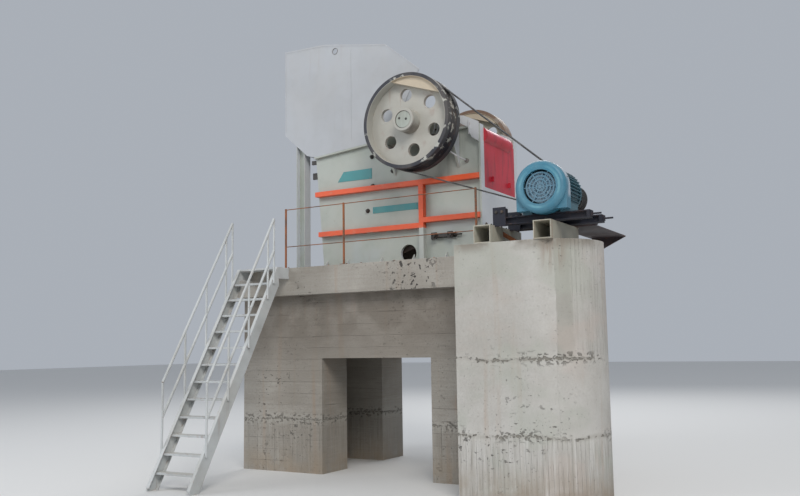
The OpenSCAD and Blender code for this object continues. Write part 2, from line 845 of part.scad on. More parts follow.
// Hopper: two side walls, a back plate before the barrel and a chute floor at the feed end.
// The near wall runs on past the back plate as a splash guard beside the belt wheel.
rim_corner = [-hopper_feed + rim_level_l, hopper_top - rim_level_fall];
near_corner = rim_corner + [rim_slope_l, -rim_slope_fall];
far_corner = rim_corner + [far_slope_l, -far_slope_fall];
near_end = near_corner + [rim_end_l, -rim_end_fall];
guard_foot = [-barrel_r - guard_gap, shaft_h + end_rise];
pedestal_clear_x = -pedestal_feed - seat_gap;
back_top = [-back_plate_x, hopper_top - back_plate_fall];
back_foot = [-back_plate_x + back_plate_lean, shaft_h + end_rise - 40];
hopper_foot = [front_x(frame_front_h) - chute_reach, frame_front_h + chute_rise];

function top_edge_z(x) = x < -top_bend_x
    ? top_bend_h + (x + top_bend_x) * (top_bend_h - frame_front_h) / (frame_front + frame_lean - top_bend_x)
    : top_bend_h + (x + top_bend_x) * (frame_rear_h - top_bend_h) / (frame_rear + top_bend_x);

// The lower edge, from the motor side round to the feed end
function hopper_lower(end_x) = [
    [end_x, top_edge_z(end_x) + seat_gap],
    [-top_bend_x, top_bend_h + seat_gap],
    [front_x(frame_front_h), frame_front_h + seat_gap],
    hopper_foot,
    [-hopper_feed, hopper_low]
];

module hopper_wall(outline) {
    difference() {
        along_y(-hopper_half, -hopper_half + hopper_t) polygon(outline);
        translate([-hopper_feed + lift_hole_x, 0, hopper_top - lift_hole_drop]) rotate([90, 0, 0])
            cylinder(r = lift_hole_r, h = 2 * hopper_half);
    }
}

module hopper_wall_near() placed() on_platform() color(hopper_grey)
    hopper_wall(concat(
        [[-hopper_feed, hopper_top], rim_corner, near_corner, near_end, guard_foot],
        [[guard_foot[0], shaft_h + seat_gap], [pedestal_clear_x, shaft_h + seat_gap]],
        hopper_lower(pedestal_clear_x)
    ));

// The far wall ends at the back plate and falls lower, out of sight from the stair
module hopper_wall_far() placed() on_platform() color(hopper_grey) far_side()
    hopper_wall(concat(
        [[-hopper_feed, hopper_top], rim_corner, far_corner, back_top + [0, 100], back_foot],
        hopper_lower(back_foot[0])
    ));

module hopper_rear() placed() on_platform() color(hopper_grey)
    along_y(-hopper_half + hopper_t, hopper_half - hopper_t)
        polygon([back_top, back_foot, back_foot - [hopper_t, 0], back_top - [hopper_t, 0]]);

module hopper_floor() placed() on_platform() color(hopper_grey)
    along_y(-hopper_half + hopper_t, hopper_half - hopper_t)
        polygon([
            [-hopper_feed, hopper_low],
            hopper_foot,
            hopper_foot + [0, hopper_t],
            [-hopper_feed, hopper_low + hopper_t]
        ]);

module hopper_legs() placed() on_platform() color(body_white) {
    half = leg_w / 2;
    section_t = 14;
    difference() {
        for (side = [-1, 1])
            translate([-leg_x, side * (hopper_half - half - hopper_t), 0]) {
                block([-half, -half, 0], [-half + section_t, half, hopper_low]);
                block([half - section_t, -half, 0], [half, half, hopper_low]);
                block([-half, -section_t / 2, 0], [half, section_t / 2, hopper_low]);
                block([-half - 50, -half - 50, 0], [half + 50, half + 50, 25]);
            }
        along_y(-2 * hopper_half, 2 * hopper_half)
            polygon([
                [-hopper_feed, hopper_low],
                hopper_foot,
                [hopper_foot[0], hopper_top],
                [-hopper_feed, hopper_top]
            ]);
    }
}

// Eccentric shaft
module eccentric_shaft() placed() on_platform() color(bare_dark)
    translate([0, 0, shaft_h]) rotate([90, 0, 0]) {
        translate([0, 0, -far_hub_end + 20]) cylinder(r = shaft_r, h = hub_end + far_hub_end - 40);
        translate([journal[0], journal[1] - shaft_h, 0])
            cylinder(r = journal_r, h = 2 * pitman_half, center = true);
    }

// Wheel: rim, web and hub turned in one profile, with web holes and a counterweight segment.
// It is drawn with its axis upright and the rim's inner face at z 0.
module wheel(rim_r, rim_w, y_in, set, y_end, grooved) {
    rim_in = rim_r - rim_t;
    hub_from = housing_out + hub_gap - y_in;
    web_out = rim_w - set;
    weight_d = set - 40;
    difference() {
        union() {
            rotate_extrude()
                difference() {
                    union() {
                        translate([rim_in, 0]) square([rim_t, rim_w]);
                        translate([0, web_out - web_t]) square([rim_in + 1, web_t]);
                        translate([0, hub_from]) square([hub_r, y_end - y_in - hub_from]);
                    }
                    if (grooved)
                        for (k = [0 : belt_count - 1])
                            translate([rim_r - groove_depth,
                                       rim_w / 2 - belt_span / 2 + k * belt_pitch - groove_w / 2])
                                square([2 * groove_depth, groove_w]);
                }
            intersection() {
                translate([0, 0, weight_inset]) cylinder(r = rim_in + 1, h = web_out + weight_d - weight_inset);
                rotate(weight_angle)
                    translate([weight_chord, -rim_r, 0]) cube([rim_r, 2 * rim_r, rim_w]);
            }
        }
        translate([0, 0, -rim_w]) cylinder(r = shaft_r + running_gap, h = y_end);
        for (k = [0 : web_holes - 1])
            rotate(web_hole_angle + k * 360 / web_holes)
                translate([web_hole_pitch_r, 0, 0]) cylinder(r = web_hole_r, h = rim_w);
    }
}

module flywheel_near() placed() on_platform() color(body_white)
    translate([0, -wheel_in, shaft_h]) rotate([90, 0, 0])
        wheel(wheel_r, wheel_w, wheel_in, web_set, hub_end, true);

module flywheel_far() placed() on_platform() color(body_white)
    far_side() translate([0, -far_wheel_in, shaft_h]) rotate([90, 0, 0])
        wheel(far_wheel_r, far_wheel_w, far_wheel_in, far_web_set, far_hub_end, false);

// Motor
cover_wall = 8;
cover_foot_h = 288;

module at_motor() {
    translate([motor_x, 0, motor_z]) children();
}

module motor_body() placed() color(motor_teal)
    at_motor() {
        difference() {
            union() {
                along_y(motor_barrel_y, motor_shield_y) {
                    circle(barrel_motor_r);
                    for (k = [0 : fin_count - 1])
                        rotate(k * 360 / fin_count)
                            translate([barrel_motor_r - 5, -4]) square([fin_h + 5, 8]);
                }
                translate([0, motor_barrel_y, 0]) rotate([90, 0, 0])
                    cylinder(r = fan_r - cover_wall, h = 14);
                translate([0, motor_end_y, 0]) rotate([90, 0, 0])
                    rotate_extrude()
                        polygon([
                            [0, 0],
                            [110, 0],
                            [150, 60],
                            [barrel_motor_r - 20, shield_l - 60],
                            [barrel_motor_r + 20, shield_l - 40],
                            [barrel_motor_r + 20, shield_l],
                            [0, shield_l]
                        ]);
                for (side = [-1, 1])
                    translate([side * 254, 0, 0])
                        block([-65, rail_mid_y - rail_gap / 2 - 60, -motor_axis_h],
                              [65, rail_mid_y + rail_gap / 2 + 60, -motor_axis_h + 30]);
                block([-barrel_motor_r - fin_h - 90, motor_barrel_y + 110, 10],
                      [-barrel_motor_r + 30, motor_barrel_y + 330, 190]);
                for (side = [-1, 1])
                    block([side * 230 - 20, motor_barrel_y + 40, -motor_axis_h],
                          [side * 230 + 20, motor_shield_y - 40, -120]);
            }
            translate([0, motor_end_y + 1, 0]) rotate([90, 0, 0])
                cylinder(r = 45 + running_gap, h = 200);
        }
    }

// Fan cover: a dished shell with a ringed grille
module fan_cover() placed() color(motor_teal)
    at_motor()
        translate([0, motor_barrel_y, 0]) rotate([90, 0, 0]) {
            wall = cover_wall;
            round_r = 60;
            rotate_extrude() {
                translate([fan_r - wall, 0]) square([wall, fan_l - round_r]);
                difference() {
                    translate([fan_r - round_r, fan_l - round_r]) circle(round_r);
                    translate([fan_r - round_r, fan_l - round_r]) circle(round_r - wall);
                    translate([0, fan_l - 3 * round_r]) square([fan_r, 2 * round_r]);
                    translate([0, 0]) square([fan_r - round_r, fan_l + 1]);
                }
                translate([grille_r, fan_l - wall]) square([fan_r - round_r - grille_r, wall]);
                translate([grille_r, fan_l - 40]) square([wall, 40]);
                for (r = [40, 85, 130, 175])
                    translate([r, fan_l - 40]) square([18, 10]);
                translate([0, fan_l - 40]) square([20, 10]);
            }
            for (k = [0 : 5])
                rotate(k * 60) translate([0, -6, fan_l - 40]) cube([grille_r + 2, 12, 10]);
            difference() {
                translate([-fan_r, -cover_foot_h, 0]) cube([2 * fan_r, cover_foot_h, fan_l - round_r]);
                translate([0, 0, -1]) cylinder(r = fan_r - wall / 2, h = fan_l);
            }
        }

module motor_rotor() placed() color(worn_steel)
    at_motor() {
        pulley_half = belt_span / 2 + belt_pitch * 0.9;
        translate([0, belt_y + pulley_half + 30, 0]) rotate([90, 0, 0])
            cylinder(r = 45, h = belt_y + pulley_half + 30 - motor_end_y + 150);
        translate([0, belt_y + pulley_half, 0]) rotate([90, 0, 0])
            rotate_extrude()
                difference() {
                    square([pulley_r, 2 * pulley_half]);
                    for (k = [0 : belt_count - 1])
                        translate([pulley_r - groove_depth,
                                   pulley_half - belt_span / 2 + k * belt_pitch - groove_w / 2])
                            square([2 * groove_depth, groove_w]);
                }
    }

// One round part of a belt, from one heading through a sweep
module belt_arc(middle, r, heading, sweep) {
    translate([middle[0], 0, middle[1]]) rotate([90, 0, 0]) rotate(heading)
        rotate_extrude(angle = sweep)
            translate([r, -belt_w / 2]) square([belt_t, belt_w]);
}

// One straight run, which lies outside the line that touches both rounds and laps into their ends
module belt_run(from, heading, length, side) {
    lap = 2;
    inset = 0.2;
    run_t = belt_t - 2 * inset;
    run_w = belt_w - 2 * inset;
    translate([from[0], 0, from[1]]) rotate([90, 0, 0]) rotate(heading)
        translate([-lap, side * belt_t / 2 - run_t / 2, -run_w / 2])
            cube([length + 2 * lap, run_t, run_w]);
}

// Belt loop round the wheel and the pulley
module belt_loop() {
    big = [0, shaft_z];
    small = [motor_x, motor_z];
    r1 = wheel_r - belt_seat;
    r2 = pulley_r - belt_seat;
    way = small - big;
    heading = atan2(way[1], way[0]);
    wrap = acos((r1 - r2) / norm(way));
    run_l = norm(way) * sin(wrap);
    belt_arc(big, r1, heading + wrap, 360 - 2 * wrap);
    belt_arc(small, r2, heading - wrap, 2 * wrap);
    belt_run(big + r1 * [cos(heading + wrap), sin(heading + wrap)], heading + wrap - 90, run_l, 1);
    belt_run(big + r1 * [cos(heading - wrap), sin(heading - wrap)], heading - wrap + 90, run_l, -1);
}

module belts() placed() color(bare_dark)
    for (k = [0 : belt_count - 1])
        translate([0, belt_y - belt_span / 2 + k * belt_pitch, 0]) belt_loop();

// Slide rails: two channels with an end block and a tension screw each
module slide_rails() placed() color(rail_navy)
    for (side = [-1, 1])
        translate([rail_x, rail_mid_y + side * rail_gap / 2, rail_z]) {
            difference() {
                block([0, -rail_w / 2, 0], [rail_l, rail_w / 2, rail_h]);
                block([40, -rail_w / 2 - 1, 15], [rail_l - 40, -rail_w / 2 + 45, rail_h - 15]);
                block([40, rail_w / 2 - 45, 15], [rail_l - 40, rail_w / 2 + 1, rail_h - 15]);
            }
            block([rail_l, -30, 20], [rail_l + 20, 30, rail_h - 10]);
            translate([rail_l + 10, 0, rail_h - 50]) rotate([0, 90, 0])
                cylinder(r = 12, h = screw_reach - 10);
        }

module box_beams() placed() color(beam_cream)
    for (x = [box_beam_1, box_beam_2])
        translate([x, 0, pier_top])
            along_y(-pier_front, -pier_front + box_beam_l)
                difference() {
                    translate([-box_beam / 2, 0]) square([box_beam, box_beam]);
                    translate([-box_beam / 2 + box_wall, box_wall])
                        square(box_beam - 2 * box_wall);
                }

// Deck sheet behind the motor, carried by the box beams' ends, with a cross bar and a back flap
module deck_plate() placed() color(rail_navy) {
    sheet_t = 12;
    bar_w = 60;
    y0 = -pier_front + box_beam_l - 2 * bar_w;
    y1 = y0 + deck_l;
    x0 = box_beam_2 - box_beam / 2;
    x1 = x0 + deck_w;
    start_x = box_beam_1 - box_beam / 2;
    block([x0, y0, rail_z], [x1, y1, rail_z + sheet_t]);
    block([start_x, y0, rail_z + sheet_t], [x1 + 20, y0 + bar_w, rail_z + sheet_t + 20]);
    block([start_x, y0, rail_z], [start_x + box_beam, y0 + bar_w, rail_z + sheet_t]);
    along_y(y1 - sheet_t, y1)
        polygon([
            [x0, rail_z + 1],
            [x0, rail_z - deck_flap_h],
            [x0 + 110, rail_z - deck_flap_h],
            [x1, rail_z + 1]
        ]);
}

near_wall_feed();
near_wall_motor();
near_lintel();
near_beam();
far_wall_feed();
far_wall_motor();
far_lintel();
far_beam();
end_wall_feed();
end_wall_motor();
deck_slab_feed();
deck_slab_motor();
motor_pier();
stair_stringer_feed();
stair_stringer_motor();
stair_treads();
handrail_feed();
handrail_motor();
guard_rail();
side_plate_near();
side_plate_far();
ribs_near();
ribs_far();
front_wall();
rear_wall();
rear_cover();
bearing_near();
bearing_far();
fixed_jaw_plate();
cheek_plates();
toggle_plate();
toggle_block();
tension_rod();
hopper_wall_near();
hopper_wall_far();
hopper_rear();
hopper_floor();
hopper_legs();
eccentric_shaft();
flywheel_near();
flywheel_far();
pitman();
moving_jaw_plate();
motor_body();
fan_cover();
motor_rotor();
belts();
slide_rails();
box_beams();
deck_plate();
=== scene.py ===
"""Looks of a jaw crusher plant: finishes for its solids, and the small fitted pieces that sit on them."""

import json
import logging
import math
from dataclasses import dataclass
from enum import Enum
from functools import cache
from typing import Iterable, Sequence, Union

import bmesh
import bpy
from mathutils import Matrix, Vector


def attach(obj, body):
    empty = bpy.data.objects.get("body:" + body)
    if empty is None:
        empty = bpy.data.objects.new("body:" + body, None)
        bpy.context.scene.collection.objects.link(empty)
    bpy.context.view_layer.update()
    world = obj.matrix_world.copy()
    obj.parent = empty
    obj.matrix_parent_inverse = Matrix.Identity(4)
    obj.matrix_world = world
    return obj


LOG = logging.getLogger("crusher")

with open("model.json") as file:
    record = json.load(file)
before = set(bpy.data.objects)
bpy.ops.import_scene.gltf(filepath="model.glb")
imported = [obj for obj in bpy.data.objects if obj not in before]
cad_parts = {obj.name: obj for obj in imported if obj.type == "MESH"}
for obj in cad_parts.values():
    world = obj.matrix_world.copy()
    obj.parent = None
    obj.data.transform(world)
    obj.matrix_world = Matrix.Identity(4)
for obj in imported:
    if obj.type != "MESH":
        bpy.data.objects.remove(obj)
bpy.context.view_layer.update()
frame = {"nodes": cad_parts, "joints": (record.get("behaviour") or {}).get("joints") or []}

Colour = tuple[float, float, float]
Operand = Union["Field", float]
Tint = Union["Field", Colour]
Point = Sequence[float]
Span = tuple[float, float]
Place = tuple[float, float, float]
Outline = tuple[Span, ...]

UP = Vector((0, 0, 1))
ALONG = Vector((1, 0, 0))  # from the feed end to the motor
SIDES = (-1.0, 1.0)  # the stair's side, then the far side
PLATFORM = 3.25  # top of the concrete platform above the ground
EDGE_COSINES = (0.995, 0.88)  # how far an edge turns where wear starts, and where it is full
OPEN_SKY = (0.85, 0.35)  # how much sky a corner sees where dirt starts, and where it is full

PLANT = "plant"
SHAFT = "shaft"
ROTOR = "rotor"


def joint_place(name: str) -> Vector:
    """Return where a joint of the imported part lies."""
    return next(Vector(j["pos_m"]) for j in frame["joints"] if j["name"] == name)


SHAFT_AXIS = joint_place("shaft_spin")
MOTOR_AXIS = joint_place("motor_spin")


def at(x: float, y: float, z: float) -> Vector:
    """Return a place given from the shaft's axis, the crusher's mid-plane and the ground."""
    return Vector((SHAFT_AXIS.x + x, SHAFT_AXIS.y + y, z))


class Field:
    """A value or colour on its way through a material, with Python's operators for its maths."""

    def __init__(self, surface: "Surface", socket: bpy.types.NodeSocket) -> None:
        """Wrap one output socket.

        Args:
            surface: The material that the socket belongs to.
            socket: The output socket.
        """
        self.surface = surface
        self.socket = socket

    def __add__(self, other: Operand) -> "Field":
        """Return the sum."""
        return self.surface.math("ADD", self, other)

    def __sub__(self, other: Operand) -> "Field":
        """Return the difference."""
        return self.surface.math("SUBTRACT", self, other)

    def __rsub__(self, other: Operand) -> "Field":
        """Return the difference from a number."""
        return self.surface.math("SUBTRACT", other, self)

    def __mul__(self, other: Operand) -> "Field":
        """Return the product."""
        return self.surface.math("MULTIPLY", self, other)

    def __truediv__(self, other: Operand) -> "Field":
        """Return the quotient."""
        return self.surface.math("DIVIDE", self, other)

    def __pow__(self, other: Operand) -> "Field":
        """Return the power."""
        return self.surface.math("POWER", self, other)

    __radd__ = __add__
    __rmul__ = __mul__

    def size(self) -> "Field":
        """Return the value without its sign."""
        return self.surface.math("ABSOLUTE", self)

    def floor(self) -> "Field":
        """Return the whole number below."""
        return self.surface.math("FLOOR", self)

    def part(self) -> "Field":
        """Return what lies past the whole number below."""
        return self.surface.math("FRACT", self)

    def larger(self, other: Operand) -> "Field":
        """Return the larger of two values."""
        return self.surface.math("MAXIMUM", self, other)

    def smaller(self, other: Operand) -> "Field":
        """Return the smaller of two values."""
        return self.surface.math("MINIMUM", self, other)

    def rise(self, low: float, high: float) -> "Field":
        """Return a soft step from 0 at low to 1 at high, which may be the lower number.

        Args:
            low: Value at which the step starts.
            high: Value at which it is complete.

        Returns:
            The step, between 0 and 1.
        """
        sockets = {"Value": self, "From Min": min(low, high), "From Max": max(low, high)}
        if high < low:
            sockets |= {"To Min": 1.0, "To Max": 0.0}
        settings = {"interpolation_type": "SMOOTHSTEP"}
        return self.surface.output("ShaderNodeMapRange", "Result", settings, sockets)


class Surface:
    """One material while its finish is laid out, with the colour and relief reached so far."""

    def __init__(self, name: str) -> None:
        """Start a material with its shader.

        Args:
            name: The finish's name.
        """
        self.material = bpy.data.materials.new(name)
        self.material.use_nodes = True
        self.tree = self.material.node_tree
        self.shader = self.tree.nodes["Principled BSDF"]
        self.place = self.output("ShaderNodeTexCoord", "Object")
        self.facing = self.output("ShaderNodeTexCoord", "Normal")
        self.colour: Field | None = None
        self.height: Field | None = None

    def add(self, kind: str, settings: dict | None = None, sockets: dict | None = None) -> bpy.types.Node:
        """Add one node.

        Args:
            kind: The node's type.
            settings: Its settings, set before its sockets.
            sockets: Values or fields for its input sockets, by name or number.

        Returns:
            The node.
        """
        node = self.tree.nodes.new(kind)
        for key, value in (settings or {}).items():
            setattr(node, key, value)
        for key, value in (sockets or {}).items():
            self.feed(node.inputs[key], value)
        return node

    def feed(self, socket: bpy.types.NodeSocket, value: object) -> None:
        """Link a field to an input socket, or set its value.

        Args:
            socket: The input socket.
            value: The field or the plain value.
        """
        if isinstance(value, Field):
            self.tree.links.new(value.socket, socket)
        else:
            socket.default_value = value

    def output(self, kind: str, name: str | int, settings: dict | None = None,
               sockets: dict | None = None) -> Field:
        """Add one node and return one of its outputs."""
        return Field(self, self.add(kind, settings, sockets).outputs[name])

    def math(self, operation: str, *values: Operand) -> Field:
        """Add a Math node on one or two values."""
        return self.output("ShaderNodeMath", 0, {"operation": operation}, dict(enumerate(values)))

    def vector(self, operation: str, *values: object) -> Field:
        """Add a Vector Math node on one or two vectors."""
        return self.output("ShaderNodeVectorMath", 0, {"operation": operation}, dict(enumerate(values)))

    def axes(self, source: Field | None = None) -> tuple[Field, Field, Field]:
        """Return the three parts of a vector, by default of the place on the object."""
        node = self.add("ShaderNodeSeparateXYZ", None, {"Vector": source or self.place})
        return tuple(Field(self, socket) for socket in node.outputs)

    def from_point(self, origin: Vector) -> tuple[Field, Field, Field]:
        """Return the three distances from a point of the plant."""
        return self.axes(self.vector("SUBTRACT", self.place, tuple(origin)))

    def noise(self, scale: float, detail: float = 3.0, stretch: Point = (1, 1, 1),
              shift: float = 0.0) -> Field:
        """Return clouds of a given fineness.

        Args:
            scale: Clouds to the metre.
            detail: Layers of finer noise on top.
            stretch: Factors on the three axes; a small one draws the clouds out along that axis.
            shift: Moves the pattern, so that two noises differ.

        Returns:
            A value round 0.5.
        """
        where = self.vector("MULTIPLY", self.place, tuple(stretch))
        if shift:
            where = self.vector("ADD", where, (shift, shift * 1.7, shift * 0.6))
        sockets = {"Vector": where, "Scale": scale, "Detail": detail}
        return self.output("ShaderNodeTexNoise", 0, None, sockets)

    def lot(self, value: Field) -> Field:
        """Return a random value for each whole number."""
        return self.output("ShaderNodeTexWhiteNoise", 0, {"noise_dimensions": "1D"}, {"W": value})

    def mix(self, first: Tint, second: Tint, factor: Operand) -> Field:
        """Blend two colours.

        Args:
            first: Colour at factor 0.
            second: Colour at factor 1.
            factor: The blend.

        Returns:
            The blended colour.
        """
        node = self.add("ShaderNodeMix", {"data_type": "RGBA"})
        self.feed(node.inputs[0], factor)
        for number, colour in ((6, first), (7, second)):
            self.feed(node.inputs[number], colour if isinstance(colour, Field) else (*colour, 1.0))
        return Field(self, node.outputs[2])

    def lay(self, colour: Tint, share: Operand) -> None:
        """Lay a colour over the one reached so far, as far as a mask says."""
        self.colour = self.mix(self.colour, colour, share)

    def edges(self, radius: float) -> Field:
        """Mark sharp edges.

        Args:
            radius: How far the mask reaches from an edge, in metres.

        Returns:
            A mask that is 1 on the edge and 0 a radius away.
        """
        turned = self.output("ShaderNodeBevel", 0, {"samples": 4}, {"Radius": radius})
        flat = self.output("ShaderNodeNewGeometry", "Normal")
        node = self.add("ShaderNodeVectorMath", {"operation": "DOT_PRODUCT"}, {0: turned, 1: flat})
        return Field(self, node.outputs["Value"]).rise(*EDGE_COSINES)

    def corners(self, distance: float) -> Field:
        """Return a mask of inner corners where dirt gathers, 1 in the corner."""
        open_sky = self.output("ShaderNodeAmbientOcclusion", "AO", {"samples": 6}, {"Distance": distance})
        return open_sky.rise(*OPEN_SKY)

    def finish(self, roughness: Operand, relief: float = 0.0, metallic: Operand = 0.0) -> bpy.types.Material:
        """Close the material with the colour and relief reached.

        Args:
            roughness: The surface's roughness.
            relief: Depth of the relief in metres, where there is one.
            metallic: How far the surface is bare metal.

        Returns:
            The material.
        """
        self.feed(self.shader.inputs["Base Color"], self.colour)
        self.feed(self.shader.inputs["Roughness"], roughness)
        self.feed(self.shader.inputs["Metallic"], metallic)
        if self.height is not None:
            sockets = {"Height": self.height, "Distance": relief, "Strength": 1.0}
            self.feed(self.shader.inputs["Normal"], self.output("ShaderNodeBump", 0, None, sockets))
        return self.material


class Boards(Enum):
    """How the shuttering boards lay when the concrete was cast."""

    SMOOTH = "smooth"
    LEVEL = "level"
    UPRIGHT = "upright"


@dataclass(frozen=True)
class CastConcrete:
    """Board-marked concrete with pour joints, pits and rust stains."""

    name: str
    light: Colour
    dark: Colour
    stain: Colour = (0.36, 0.235, 0.15)
    rust: Colour = (0.42, 0.19, 0.08)
    pit_colour: Colour = (0.1, 0.092, 0.08)
    # colour of the painted shadow that the beam casts on the top of the wall
    beam_shadow_colour: Colour = (0.15, 0.125, 0.1)
    soil_colour: Colour = (0.31, 0.25, 0.185)
    edge_colour: Colour = (0.5, 0.485, 0.445)
    hole_colour: Colour = (0.045, 0.042, 0.038)
    wood_colour: Colour = (0.25, 0.225, 0.19)
    seam_colour: Colour = (0.19, 0.168, 0.14)
    joint_colour: Colour = (0.13, 0.12, 0.1)
    joint_shade: Colour = (0.3, 0.28, 0.24)
    joint_bloom: Colour = (0.63, 0.61, 0.56)
    boards: Boards = Boards.LEVEL
    board_w: float = 0.18
    board_depth: float = 1.0
    marks: float = 1.0
    slant: float = 0.83
    joints: tuple[float, ...] = ()
    upright_below: float = 0.0
    shade_top: float = 0.0
    soil_top: float = 0.55
    rust_share: float = 1.0
    worn_edges: bool = True
    tie_holes: bool = False
    tie_x: float = 0.13
    relief: float = 0.012

    def make(self) -> bpy.types.Material:
        """Return the material."""
        s = Surface(self.name)
        x, y, z = s.axes()
        along = x + y * self.slant
        clouds = s.noise(0.7, 4.0)
        blots = s.noise(3.2, 5.0, shift=4.0)
        grain = s.noise(38.0, 4.0)
        runs = s.noise(1.0, 4.0, (7.0, 7.0, 0.45), 9.0)
        tone = clouds.rise(0.36, 0.62) * 0.45 + blots.rise(0.3, 0.72) * 0.35 + grain.rise(0.3, 0.7) * 0.2
        s.colour = s.mix(self.dark, self.light, tone)
        s.height = grain * 0.25 + blots * 0.2
        if self.boards is not Boards.SMOOTH:
            self.board_marks(s, z, along, self.boards, self.marks)
        if self.upright_below:
            low = z.rise(self.upright_below + 0.015, self.upright_below - 0.015)
            self.board_marks(s, z, along, Boards.UPRIGHT, low)
        s.lay(self.stain, runs.rise(0.56, 0.74) * 0.34)
        cloudy = s.noise(0.55, 5.0, (1.0, 1.0, 1.7), 41.0)
        s.lay(self.light, cloudy.rise(0.52, 0.66) * 0.4)
        s.lay(self.dark, cloudy.rise(0.48, 0.36) * 0.45)
        self.local_marks(s)
        for number, joint in enumerate(self.joints):
            self.pour_joint(s, z, joint, number)
        self.pits(s, blots)
        self.rust_stains(s)
        if self.shade_top:
            # painted shadow of the beam: the wall darkens towards its top, in patches
            beam_shadow = z.rise(self.shade_top - 1.5, self.shade_top - 0.3) * (0.45 + blots.rise(0.35, 0.6) * 0.45)
            s.lay(self.beam_shadow_colour, beam_shadow * 0.8)
        s.lay(self.soil_colour, z.rise(self.soil_top, 0.0) * blots.rise(0.3, 0.62) * 0.75)
        if self.worn_edges:
            s.lay(self.edge_colour, s.edges(0.02) * grain.rise(0.42, 0.6) * 0.5)
        return s.finish(0.93 - grain * 0.1, self.relief)

    def local_marks(self, s: Surface) -> None:
        """Add the holes that the shuttering's ties left, where there are any.

        Args:
            s: The material.
        """
        if not self.tie_holes:
            return
        across = (s.axes()[0] - self.tie_x).size()
        cluster = s.noise(1.3, shift=44.0).rise(0.4, 0.5) * across.rise(0.6, 0.2)
        gate = cluster.larger(s.noise(0.7, 2.0, shift=45.0).rise(0.62, 0.68) * 0.8)
        holes = s.noise(11.0, shift=46.0).rise(0.62, 0.65) * gate
        fine = s.noise(16.0, shift=48.0).rise(0.64, 0.68) * gate
        dark = holes.larger(fine)
        s.lay(self.hole_colour, dark * 0.9)
        s.height -= dark * 2.0

    def board_marks(self, s: Surface, z: Field, along: Field, boards: Boards, share: Operand) -> None:
        """Lay board seams, grain and board-to-board tone over the concrete.

        Args:
            s: The material.
            z: Height above the ground.
            along: Distance along the wall.
            boards: Which way the boards lie.
            share: Where they show, from 0 to 1.
        """
        level = boards is Boards.LEVEL
        across = z if level else along
        sway = s.noise(1.3, 1.0, shift=2.0) * 0.03
        step = (across + sway) / self.board_w
        tone = s.lot(step.floor() + (7.0 if level else 31.0))
        seam = (step.part() - 0.5).size().rise(0.465, 0.5)
        stretch = (0.6, 0.6, 11.0) if level else (11.0, 11.0, 0.6)
        wood = s.noise(3.4, 4.0, stretch, 3.0 if level else 6.0)
        broken = s.noise(2.6, shift=12.0).rise(0.4, 0.6)
        s.lay(self.dark, tone * share * 0.5)
        s.lay(self.light, wood.rise(0.5, 0.72) * share * 0.5)
        s.lay(self.wood_colour, wood.rise(0.5, 0.3) * share * 0.42)
        s.lay(self.seam_colour, seam * broken * share * 0.3)
        relief = tone * 0.35 + wood * 0.45 - seam * broken * 0.5
        s.height += relief * share * self.board_depth

    def pour_joint(self, s: Surface, z: Field, joint: float, number: int) -> None:
        """Cut one rough joint between two pours, a broken row of pits.

        Args:
            s: The material.
            z: Height above the ground.
            joint: The joint's height.
            number: Counts the joints, so that they differ.
        """
        wave = s.noise(1.7, 5.0, shift=20.0 + 5 * number) * 0.13 - 0.065
        off = (z + wave - joint).size()
        gap = s.noise(3.1, shift=30.0 + number)
        crumbs = s.noise(15.0, 4.0, (1.0, 1.0, 1.4), 9.0 + number)
        line = (off + crumbs * 0.2).rise(0.106, 0.094) * gap.rise(0.36, 0.46)
        near = off.rise(0.16, 0.0)
        nests = s.noise(1.5, shift=8.0 + number).rise(0.42, 0.54)
        holes = crumbs.rise(0.55, 0.6) * near.rise(0.2, 0.65) * nests
        dark = line.larger(holes * near)
        s.lay(self.joint_colour, dark * 0.85)
        s.lay(self.joint_shade, off.rise(0.05, 0.0) * gap.rise(0.36, 0.5) * 0.5)
        s.lay(self.joint_bloom, near * (1.0 - dark) * 0.15)
        s.height -= dark * 1.6

    def pits(self, s: Surface, blots: Field) -> None:
        """Add the small pits that air bubbles left, in loose clusters.

        Args:
            s: The material.
            blots: The concrete's blotches, which gather the larger pits.
        """
        gate = s.noise(0.85, shift=15.0).rise(0.55, 0.7)
        small = s.noise(34.0, 2.0, (1.0, 1.0, 1.3), 16.0).rise(0.68, 0.72) * (gate * 0.8 + 0.2)
        large = s.noise(13.0, 3.0, (1.0, 1.0, 1.5), 18.0).rise(0.64, 0.68) * gate * blots.rise(0.42, 0.56)
        both = small.larger(large)
        s.lay(self.pit_colour, both * 0.85)
        s.height -= both * 1.4

    def rust_stains(self, s: Surface) -> None:
        """Add the stains where rust has run down.

        Args:
            s: The material.
        """
        spots = s.noise(1.5, 2.0, (1.0, 1.0, 0.35), 25.0).rise(0.66, 0.76)
        thin = s.noise(2.0, 3.0, (5.0, 5.0, 0.5), 27.0).rise(0.5, 0.62)
        s.lay(self.rust, spots * thin * 0.5 * self.rust_share)


